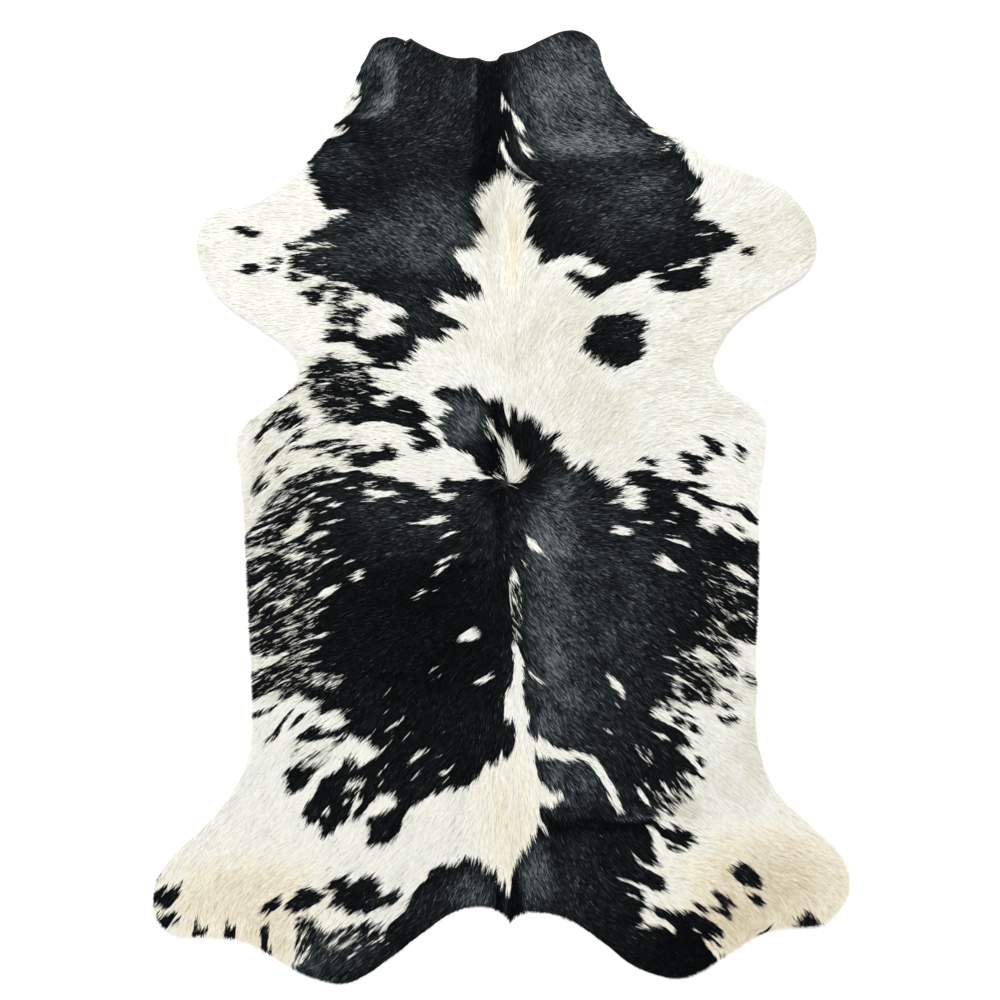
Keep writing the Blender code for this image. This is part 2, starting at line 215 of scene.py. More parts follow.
         (-35.6, 14.7), (-34.3, 14.5), (-34.8, 13.5), (-34, 13), (-32.5, 13), (-30.8, 13.3), (-29.6, 13.3),
         (-29.3, 12.6), (-30, 12), (-32.6, 11.8), (-33, 12.3), (-34.5, 12.4), (-35, 11.4), (-36, 10.4),
         (-36.6, 10.8), (-37.5, 11.6), (-39, 11.4), (-40.8, 10.4), (-40.5, 11.2), (-39, 11.8), (-37.8, 12.3),
         (-39.5, 12.6), (-41.5, 12.5), (-44.5, 12.6), (-46, 12.2)]],
    "left brisket spots": [
        [(-33.8, 10.4), (-33, 11.2), (-31, 11.5), (-29, 11.8), (-27.6, 11.7), (-26, 11.8), (-25.6, 12.8),
         (-25.8, 13.4), (-24.8, 13.6), (-24.2, 12.6), (-22.6, 11.7), (-22.1, 11), (-23, 10), (-24.2, 9.8),
         (-26, 10), (-27, 9.2), (-28.5, 8.5), (-30.5, 8.4), (-31.5, 8.2), (-32.8, 8.6), (-33.3, 9.6)],
        [(-49.2, 8.2), (-48.3, 9), (-46.5, 9.3), (-46, 8.9), (-47.3, 7.8), (-48.2, 6.9)],
        [(-54.8, 3), (-54.2, 4.6), (-53.6, 6), (-52.6, 7.4), (-51.8, 7.3), (-52.6, 5.6), (-51, 5.6),
         (-50.6, 5), (-51.6, 4), (-52.8, 3.2), (-54.2, 2.1)]],
    "withers, left": [
        [(-14.6, 24), (-13.6, 25.2), (-12.8, 26.1), (-11.2, 25.6), (-9, 25), (-7, 25), (-6, 25.8),
         (-5, 24.6), (-4.2, 23.4), (-2.8, 22.2), (-1.2, 22.6), (0.3, 22.7), (0.7, 20), (1.2, 17), (1.2, 14),
         (0.1, 12.6), (0.2, 9.6), (0.3, 7.4), (-1.4, 6.3), (-2.6, 6), (-3.8, 6.8), (-4.8, 8.2), (-5.4, 9.8),
         (-6.5, 10.8), (-8, 11.1), (-9.5, 12), (-11.8, 13.2), (-12.7, 14.3), (-11.7, 15.2), (-14.3, 17),
         (-12.7, 18), (-13.7, 19), (-12, 20.1), (-9.8, 20.6), (-11.5, 21.7), (-12.8, 23)]],
    "left barrel": [
        [(-48.7, 3.8), (-47.2, 5.3), (-45.5, 6.5), (-42.5, 7.3), (-39.8, 8.7), (-36.4, 7.7), (-34.6, 7.1),
         (-31, 7.8), (-29, 7), (-26, 6.1), (-23.4, 6.2), (-22.4, 5), (-20, 5), (-17.6, 4.4), (-18.4, 3.6),
         (-15.4, 3.2), (-13.6, 2.6), (-15.2, 1.8), (-14, 1.2), (-12, 0.7), (-10.8, 1), (-9.7, 2.9),
         (-12, 2.5), (-13.2, 3), (-13.7, 4.3), (-12.8, 5.4), (-11.7, 6), (-9.4, 5), (-7.6, 5.2), (-6, 6.1),
         (-4.8, 5.2), (-1.4, 5.9), (0.6, 5.4), (1.5, 0), (2.4, -12), (1.6, -20), (2.6, -29.4), (2, -31),
         (2.6, -33), (2.7, -35), (2.4, -37.5), (2.2, -39.3), (1, -40.6), (0.7, -43), (0.6, -45.6),
         (1.1, -47.4), (2.2, -46.8), (3, -48.6), (3.1, -51), (2.6, -53), (1.5, -55.4), (0.6, -55),
         (-0.2, -54.4), (-0.6, -56), (-1.6, -57), (-3.6, -56.6), (-4.6, -58.4), (-5.6, -60.2), (-7, -61.2),
         (-10, -61.9), (-11.6, -61.6), (-13.5, -63), (-15, -62.8), (-16.4, -64.2), (-18, -65.4),
         (-19.9, -65.9), (-20.7, -67.3), (-21.7, -68.8), (-21.9, -70.3), (-22.4, -71.6), (-22.7, -72.6),
         (-24.2, -73.3), (-25.2, -74.3), (-26.1, -74.5), (-26.5, -73.7), (-27.5, -74.1), (-28.1, -74.7),
         (-29.1, -74.3), (-29, -73.1), (-28.8, -71.6), (-29.3, -70.3), (-29.6, -69.3), (-29.3, -68.8),
         (-28.3, -67.9), (-26.7, -67.5), (-25, -67.1), (-23, -66.1), (-22.6, -65.1), (-22.2, -63.4),
         (-24, -63.7), (-24.7, -62.6), (-25.5, -62.5), (-26.7, -63), (-27.8, -64), (-28, -64.7), (-29, -66),
         (-30, -66.9), (-30.8, -68.3), (-31.7, -68.5), (-32.4, -67.5), (-31.8, -66.8), (-30.8, -65.8),
         (-30.5, -64.7), (-31.5, -63.5), (-32.4, -64), (-32.9, -66), (-33.3, -67.5), (-33.7, -68.9),
         (-34.6, -69.3), (-35.8, -69.9), (-36.5, -71.2), (-37.9, -71.9), (-38.7, -73), (-39.2, -71.8),
         (-39.6, -70.6), (-40.3, -69.5), (-41.5, -69.7), (-42.5, -70.2), (-42.9, -68.8), (-43.4, -67.3),
         (-43.2, -66.1), (-42.3, -65.1), (-41.3, -64.1), (-40.8, -63.1), (-40.1, -61.5), (-39.9, -60.7),
         (-38.6, -59.7), (-36.8, -58.7), (-35.3, -57.9), (-34.8, -56.7), (-34.6, -55.7), (-33.6, -55.2),
         (-32.9, -56.2), (-32.4, -57.2), (-30.8, -57.4), (-29.5, -56.4), (-28.3, -55.9), (-27.4, -54.8),
         (-26.4, -54.4), (-24.8, -52.8), (-24, -51.6), (-25.8, -53.2), (-27, -53.8), (-27.4, -52.6),
         (-28.6, -52), (-29.8, -51.6), (-31.4, -51.2), (-33, -50.4), (-34, -50.2), (-36, -50.6), (-38, -51),
         (-40.4, -51.4), (-42, -51.8), (-44.4, -51.8), (-45, -50.9), (-43.4, -49.8), (-41.8, -48.6),
         (-40.3, -47.8), (-40.6, -48.8), (-39.5, -49.6), (-37.8, -49.6), (-36, -49.2), (-35.4, -48.8),
         (-33.2, -47.7), (-34.5, -46), (-35.3, -44.8), (-36.5, -44.6), (-37.5, -45.3), (-39, -45.7),
         (-40.2, -45), (-39.5, -43.5), (-39.6, -42.4), (-41.5, -42.6), (-43, -42.5), (-44, -41.5),
         (-45.5, -41.5), (-46.5, -42.3), (-48, -42), (-48.5, -41), (-48.8, -40), (-50, -40.5),
         (-51.5, -41.5), (-53, -42.3), (-54.3, -43), (-60, -43.4), (-60, -7.6), (-56, -6.8), (-54.6, -5),
         (-53, -3), (-52, -1.8), (-51.2, 0), (-51.4, 1), (-50, 2.6)]],
    "left flank strands": [
        [(-55.2, -46.9), (-54.8, -45.6), (-53, -45.2), (-51, -44.6), (-49, -43.6), (-50, -44.9),
         (-51.2, -45.4), (-53.4, -45.9)],
        [(-51.5, -51.2), (-50, -50), (-48.8, -48), (-47.6, -46.4), (-45.6, -44.6), (-46.4, -46), (-48, -48),
         (-48.6, -50), (-49.2, -50.8), (-50.6, -51.7)],
        [(-46, -48.2), (-45, -46.8), (-43.8, -45.6), (-43, -45.8), (-44, -47), (-45.2, -48.4)],
        [(-47.5, -58.8), (-46.6, -57.6), (-45, -57.2), (-44, -56), (-42, -54.8), (-40, -54), (-38.5, -53.2),
         (-37, -52.2), (-35.6, -51.2), (-34.4, -50.8), (-34.2, -51.6), (-36, -52.8), (-37.4, -54),
         (-39, -55.4), (-38, -56), (-39.6, -57.4), (-41, -58.8), (-42, -60.4), (-43.2, -61.6),
         (-44.6, -62.2), (-45.8, -63.2), (-46.6, -62), (-47, -60.4)],
        [(-46, -54.8), (-44.6, -53.4), (-43.4, -53.2), (-44.2, -54.2)]],
    "right barrel": [
        [(0.2, 22.8), (0.7, 20), (1.5, 17.5), (2.2, 18), (2, 21.7), (3.4, 19.6), (4.2, 18), (5.5, 19),
         (6.6, 18.6), (7, 17.3), (8.8, 17.4), (8, 15.4), (9.2, 14.9), (12.2, 15), (10.7, 13.4), (11.4, 12.2),
         (13.2, 12.2), (13.3, 10.3), (15, 8.3), (16, 7.5), (17.5, 7.8), (18.6, 9.5), (19.6, 9.2), (19, 7.9),
         (20, 6.8), (20.3, 5), (22.6, 5.2), (24.9, 4.5), (26.2, 3), (25.7, 1.2), (26.3, -0.5), (28.5, -1.2),
         (30.4, -1.1), (31.4, -0.2), (30.8, 0.8), (31.3, 1.8), (30.6, 2.6), (31.4, 3.6), (29.6, 4.2),
         (27.6, 4.4), (28, 5.6), (26.2, 6.4), (27.4, 7.2), (30, 7.6), (32.4, 7.5), (33.8, 6.8), (33, 6.2),
         (35.5, 5.8), (38, 5.2), (40.5, 5.6), (42.2, 5), (45.6, 4.3), (43.2, 3.6), (41, 4.1), (38.4, 3.4),
         (37.5, 2.4), (38.6, 0.9), (40, -0.4), (43, -1.3), (43.8, -2.6), (42.7, -3.5), (43.2, -4.7),
         (46, -6.2), (46.6, -4.3), (48, -4.7), (49.8, -6.2), (51.6, -7.4), (54.8, -7.6), (60, -9),
         (60, -30.4), (55.9, -30.4), (53.8, -30.4), (52.6, -29.6), (50.6, -29), (50.2, -30.2), (52, -31.6),
         (51, -32.2), (48.6, -31.6), (49.4, -33.4), (50.2, -34.6), (51.8, -35.6), (50.6, -36.4),
         (51.4, -37.6), (49.6, -37.8), (48, -37.2), (46, -37.4), (47.4, -38.6), (48.6, -39.8), (47.4, -40.4),
         (45.8, -40), (45.6, -41), (46.6, -42.6), (45.2, -43.4), (43.4, -43.4), (42, -42.8), (41.4, -44.4),
         (39.6, -43.8), (38.4, -42.8), (37, -42.9), (37.6, -44.4), (36.4, -45.4), (35.6, -44), (34, -44.1),
         (34, -45.1), (31.4, -45.6), (33, -46.4), (34.6, -47.2), (36.6, -48.2), (38.4, -49), (39.8, -50),
         (41, -51.4), (40.4, -52), (41.7, -53), (41, -53.6), (39.4, -52.8), (37.6, -53.6), (39.4, -54.4),
         (40.6, -55.4), (41.8, -56.8), (43.2, -58.4), (44.4, -60.2), (43.2, -59.7), (42, -59), (40.4, -58.8),
         (39.6, -59.2), (41.2, -61), (41.6, -61.9), (40.4, -62.8), (41.6, -64.3), (39.8, -64.2), (38, -65.4),
         (36.4, -65.6), (38, -68), (36.6, -67.8), (35.4, -67.2), (34, -66.4), (34, -68), (27, -68),
         (26.8, -67.4), (26, -65), (25, -63), (25, -62.2), (24, -60.6), (23, -59), (22, -57.4), (21, -56),
         (20.2, -54.8), (18.6, -54.4), (17, -54), (15.6, -53.6), (14.6, -54), (13, -53.7), (11.6, -52.9),
         (10.4, -52), (9.4, -51), (7.6, -50.3), (7.2, -51.4), (6.2, -49.8), (5.6, -49.8), (5.4, -48.4),
         (6.2, -47.6), (6.3, -46.4), (5.6, -44.8), (4.9, -43.4), (4.6, -42), (4.9, -40), (4.8, -38),
         (4.9, -36), (4.6, -33.6), (4, -31.8), (3.4, -30.4), (2.6, -29.4), (2.2, -20), (1, -10), (0, 0),
         (0, 5)]],
    "right flank strands": [
        [(38.5, 2.9), (40, 3.7), (42, 3.2), (44.4, 2.3), (46.4, 1), (48.6, 0.4), (51, -0.3), (50.2, -0.8),
         (48.4, -0.3), (46.8, 0), (46.4, -1), (45, -0.9), (43.6, 0.2), (42.5, 0.9), (41.3, 1.6), (42, 2),
         (40, 2.6)],
        [(51, -0.6), (52.8, 0.4), (53.6, -0.4), (54.6, -1.2), (56.2, -3.2), (56, -3.8), (54.8, -3.8),
         (53.4, -2.8), (52, -1.6)],
        [(50.2, -3.8), (51.8, -4.2), (53.3, -4.9), (52.6, -5.8), (51.2, -5)],
        [(48.2, -1), (50.5, -2.6), (49, -2)]],
    "right brisket spots": [
        [(30.2, 10.2), (31, 10.4), (32, 10), (33.4, 9.9), (34.4, 9.3), (33, 8.4), (31, 8.6), (32, 9.2),
         (31, 9.7)],
        [(38, 10.6), (38.8, 11.6), (39.8, 12), (40.6, 11.2), (42, 11.1), (43.5, 10.8), (45.6, 10.8),
         (46, 10.2), (45.4, 10), (43.5, 10.3), (42, 9.8), (44.8, 9.2), (43, 8.8), (44.5, 8.3), (45.3, 7.5),
         (44, 7.6), (43, 7.4), (42.2, 6.2), (41.2, 7), (40.4, 8), (41.5, 8.4), (39.5, 9.6), (41, 10)],
        [(43.6, 15.2), (44.8, 15.4), (46, 14.5), (47.4, 13.9), (48.7, 13.1), (47.5, 12.8), (48.5, 12),
         (49, 11), (48, 10.7), (46.5, 11.5), (44.5, 11.6), (45.8, 12.3), (44, 13), (45, 13.6), (43.8, 14)],
        [(51, 13.7), (52.4, 13.3), (53.6, 12.3), (52.8, 11.8), (53.1, 11), (52.3, 10.6), (51.2, 11.2),
         (52, 12), (51.6, 12.8)]],
    "right brisket fleck": [
        [(50.8, 10.8), (52, 10), (52.8, 9.4), (51.6, 9.9)]],
    "right flank flecks": [
        [(37.2, -46.2), (38.4, -46.4), (40, -47.2), (39.4, -48.2), (38, -48.2), (37, -47.2)],
        [(38, -44.9), (39.6, -45.2), (41.8, -46), (41, -46.4), (39.4, -46)],
        [(40.4, -47.4), (42, -47.8), (43.4, -48.8), (43, -50.2), (41.6, -49.6), (40.6, -48.6)],
        [(48.4, -40), (50, -40.4), (51.8, -41.6), (51.8, -42.6), (50, -41.8)],
        [(46.8, -43), (48.4, -43.2), (50, -43.6), (49.8, -44.6), (48.2, -44.2)],
        [(48, -46.8), (49.6, -46), (50.8, -45.8), (52, -46.8), (51.2, -47.3), (49.6, -47.2), (49.4, -48.2),
         (48.2, -47.8)],
        [(42.4, -55.6), (43.4, -55), (44.4, -55.6), (43.6, -56.4), (44.2, -57.2), (43.2, -57)]],
    "right flank tuft": [
        [(52, -37), (54.4, -36.9), (56, -38), (56.4, -40.2), (55, -39.8), (53.4, -38.8)]],
    "right haunch": [
        [(7.3, -54.8), (9, -55.2), (10, -56.2), (10.4, -54.8), (11.6, -55.6), (13, -56.3), (14, -56.6),
         (14.8, -56), (16.8, -55.7), (18.2, -56.2), (19.5, -57.2), (20.2, -58.5), (21.4, -59.8),
         (22.4, -61.6), (23.4, -63), (23, -64.2), (23.8, -65.2), (24.6, -66.4), (25.4, -67.4), (26.8, -67.5),
         (34, -67.2), (34.2, -68.2), (33.6, -69.4), (33.2, -70.4), (31.6, -70.6), (32.4, -72.1),
         (32.7, -74.4), (33, -75.6), (33.7, -77.1), (33.9, -78.7), (33.2, -79.2), (31.4, -78.7),
         (30.1, -77.7), (29.1, -76.4), (28.1, -75.9), (28.4, -76.9), (29.6, -78.3), (31.1, -79.4),
         (32.4, -80.3), (33.6, -80.9), (34.9, -81.7), (35.4, -82.4), (35.6, -83.5), (35.2, -84.6),
         (33.7, -84.5), (32.4, -84.2), (31.4, -83.1), (30.1, -83.2), (28.1, -82.5), (26.6, -81.8),
         (25.1, -81.9), (25.8, -82.5), (27.3, -82.8), (28.6, -83.5), (30.1, -84.2), (29.9, -84.5),
         (30.6, -85.5), (31.4, -86.7), (30.9, -87), (30.1, -87), (31.4, -87.8), (32.4, -88.6), (31.1, -88.5),
         (30.6, -88.8), (31, -89.5), (29.9, -90), (30.6, -90.5), (31.1, -91.5), (30.1, -92.2), (28.6, -92.4),
         (29.9, -92.8), (31.4, -92.8), (33.4, -92.4), (34.8, -92.1), (35.8, -92.6), (36.6, -93.3),
         (37.6, -94.6), (38.2, -94.2), (38, -93), (37.2, -92.1), (36.6, -91.4), (35.4, -90.9), (34.2, -90.4),
         (33.4, -89.5), (32.7, -88.8), (33.4, -88.1), (33.7, -88), (34.9, -88.5), (36.9, -89.1), (39, -89.1),
         (40.7, -89.1), (42.5, -89.5), (44.5, -90.3), (44.4, -90.9), (45.8, -91.3), (47, -92), (48.1, -93),
         (48.4, -93.7), (47.8, -94.8), (46.3, -94.3), (44.8, -93.9), (45.8, -94.6), (47, -95.6),
         (47.9, -96.3), (46.3, -95.8), (45, -95.6), (43.9, -95.6), (45, -96.8), (46, -98.1), (46.8, -99.1),
         (47.3, -100), (48, -103), (38, -108), (15, -95), (1, -93), (1.3, -87), (2.1, -84.2), (2.2, -82),
         (2.5, -80.2), (3.1, -78.9), (4.1, -77.4), (5.1, -76.1), (6.3, -75.4), (6.4, -74.1), (7.3, -73.1),
         (7.4, -71.6), (8.4, -71.6), (10.4, -72.6), (11.3, -72.9), (9.7, -70.8), (8.9, -69.3), (8.3, -67.2),
         (8.6, -66), (11, -66.8), (12.4, -65.4), (14, -64.3), (12.6, -62.2), (11.4, -63), (10, -62),
         (9.2, -60.8), (8.2, -60), (7.9, -58.6), (7.4, -57)]],
    "right haunch, lobe": [
        [(33.4, -69.3), (34.2, -70.3), (35.9, -70.8), (37.4, -71.4), (39, -71.4), (40, -71.2), (41, -71.6),
         (41.9, -72.6), (42.4, -74.1), (41.7, -74.3), (40.7, -73.9), (40.2, -74.9), (39.2, -74.6),
         (38.2, -74.4), (37.2, -73.6), (35.9, -73), (34.9, -72.6), (34.2, -71.6), (33.4, -70.6)]],
    "right haunch, strand": [
        [(36.2, -69.7), (37.5, -69.8), (38.6, -70.6), (39.8, -71.2), (38, -70.7)]],
    "right haunch, lower lobe": [
        [(35.7, -74.5), (37.2, -74.6), (38.7, -75), (39.5, -75.9), (39.2, -76.1), (38, -76.1), (36.9, -75.8),
         (36.2, -75.3)]],
    "right hind leg spots": [
        [(50.3, -79.2), (51.2, -78.9), (51.5, -78.2), (52.6, -78.7), (53.9, -79), (54.9, -79.5),
         (55.6, -80.7), (56.6, -81.4), (56.7, -82.2), (56.9, -83.1), (56.2, -83.8), (54.9, -83.8),
         (53.4, -83.3), (52.1, -83), (51.4, -82.1), (50.9, -81.2), (50.2, -80.2)],
        [(53.9, -85.5), (55.7, -85.4), (56.9, -86), (57.8, -87.2), (56.9, -87.9), (55.9, -88), (54.9, -87),
         (54.1, -86.2)],
        [(46.3, -84.7), (47.1, -84.5), (48.1, -85.1), (49.1, -86), (50.1, -86.2), (50.9, -87.2), (50.6, -88),
         (49.8, -88), (49.3, -88.6), (50.1, -89.5), (50.4, -90), (49.3, -90.7), (48.1, -89.5), (46.8, -89.3),
         (45.9, -88.5), (47.3, -88.6), (48.6, -88.8), (48.1, -87.5), (47.3, -86.5), (46.3, -85.6)],
        [(41.6, -87.4), (43, -87.4), (44.3, -88), (45.2, -88.5), (45.6, -89.5), (44.3, -89.5), (42.8, -88.3),
         (42, -87.9)]],
    "right hind leg, edge spot": [
        [(64.7, -91.5), (66, -90.8), (66.8, -89.8), (67.8, -89.5), (68.5, -90.3), (69.5, -91.3), (71, -91.8),
         (69, -93), (64, -93)]],
    "right hind leg, edge strand": [
        [(56.9, -94), (58.7, -92.9), (58.9, -93.7), (56.4, -95.2)]],
    "right ham, edge strand": [
        [(48.1, -99.9), (49.4, -98.9), (48.8, -98.4), (48, -99.1)]],
    "left hind leg spots": [
        [(-76.9, -86), (-75.8, -85), (-74.8, -84.2), (-73.5, -83.7), (-73.9, -84.7), (-73, -84.7),
         (-72.5, -84), (-71.5, -83.6), (-70.5, -83.1), (-70.6, -84.5), (-70.2, -85.1), (-71, -86),
         (-72, -87.2), (-72.9, -88.3), (-73.5, -88), (-74, -88.4), (-74.9, -87.8), (-75.8, -87.2),
         (-76.9, -88.5)],
        [(-76.2, -90), (-74.5, -90.3), (-73.3, -90), (-71.7, -89.5), (-72, -90.8), (-72.8, -91.8),
         (-73.9, -93.4), (-75.2, -92.3), (-76, -91)],
        [(-67.4, -92), (-66.9, -91.5), (-66.4, -92.8), (-65.2, -92.5), (-64.4, -92.9), (-64.9, -93.8),
         (-65.8, -95.2), (-67.9, -95.2), (-67.6, -93.3)],
        [(-60.6, -92), (-60, -91.5), (-59.4, -92.3), (-58.4, -92.5), (-58.4, -93.8), (-58.6, -95.6),
         (-60.8, -95.4), (-60.8, -93.3)]],
    "left hind leg, edge strand": [
        [(-75.2, -81), (-76.2, -82.7), (-74.9, -82)]],
    "left hind leg fleck": [
        [(-70.5, -89.9), (-71, -91.3), (-71.5, -92.4), (-71.8, -91.3)]],
    "left ham spots": [
        [(-52.8, -92.8), (-52, -92.2), (-50.8, -92), (-51, -93.6), (-51.4, -95.1), (-51.5, -96.6),
         (-50.5, -97.6), (-50.2, -98.2), (-50.5, -99.3), (-52, -98.6), (-52.9, -97.4), (-52.6, -95.6),
         (-52.6, -94.1), (-53.3, -93.8), (-53.2, -93.2)],
        [(-52.4, -88), (-51.8, -87.4), (-50.5, -86.7), (-49.5, -85.9), (-48.9, -86.2), (-48.3, -87.2),
         (-48.9, -88.3), (-49.8, -89), (-51, -89.5), (-52.6, -89.6), (-52.3, -88.9)],
        [(-47.8, -87.9), (-46.7, -87), (-45.2, -86.1), (-44.5, -84.8), (-43.5, -84), (-42.2, -84),
         (-41.3, -84.1), (-40.3, -85), (-39.2, -85), (-39, -85.7), (-39.2, -86.7), (-40.3, -87.5),
         (-41.8, -88), (-43.3, -88.4), (-44.3, -89.1), (-45.6, -89.4), (-47, -88.6)]],
    "left buttock spot": [
        [(-38.2, -83.3), (-37.5, -82.4), (-36.2, -82.1), (-34.7, -81.6), (-33.3, -81.1), (-33.9, -82.2),
         (-33.2, -83.1), (-31.7, -83), (-31.2, -81.9), (-30.2, -81.4), (-28.6, -81.3), (-27.6, -81.9),
         (-26.1, -82.2), (-26.4, -83.2), (-27.1, -84.2), (-26.1, -84.5), (-26.8, -86), (-25.1, -85.5),
         (-23.8, -84.7), (-22.3, -84.5), (-22.8, -85.5), (-21.9, -85.7), (-22.8, -87), (-24.1, -88),
         (-25.1, -88), (-25.9, -87.8), (-26.6, -88), (-27.4, -88.6), (-28.9, -89.1), (-31.4, -89.3),
         (-32.7, -89.3), (-33.9, -88.6), (-35.7, -88.4), (-36.5, -87.8), (-37.2, -87.4), (-36.5, -86.2),
         (-36.1, -85), (-37, -84.3), (-37.9, -84)]],
    "left haunch and ham": [
        [(1.6, -93), (1.3, -85.5), (1, -84.6), (0.6, -82.4), (0.2, -83.4), (-0.2, -83.2), (-0.9, -81.9),
         (-2.4, -80.2), (-4, -79.4), (-5.2, -78.2), (-6.7, -77.7), (-8.2, -77.4), (-9.7, -78.9),
         (-11.2, -79.2), (-13.2, -79), (-15.2, -79.7), (-15.8, -81.2), (-16.5, -82.4), (-18, -83.6),
         (-19, -84.7), (-19.8, -86.5), (-20.1, -87.5), (-21.1, -89.3), (-22.1, -90), (-23.7, -91.3),
         (-24.7, -92.6), (-25.1, -93.3), (-26.9, -94.1), (-26.1, -93.3), (-26.9, -92.8), (-26.4, -91.7),
         (-27.9, -91.8), (-28.9, -91.9), (-29.9, -91.5), (-31.2, -92.2), (-32.4, -92.8), (-33.7, -92.3),
         (-34.7, -92.9), (-36, -93.2), (-37.1, -93.8), (-38.2, -93.8), (-39.7, -92.8), (-41, -91.3),
         (-40.4, -90), (-42, -91), (-43, -90.2), (-43.8, -89.8), (-44.7, -90.3), (-44.7, -91), (-45, -92.5),
         (-44.2, -93.4), (-44.9, -94.4), (-45.1, -96), (-45.4, -97.3), (-44.7, -98.2), (-45.2, -99.4),
         (-46.2, -101.4), (-47, -106), (-20, -108)]],
}
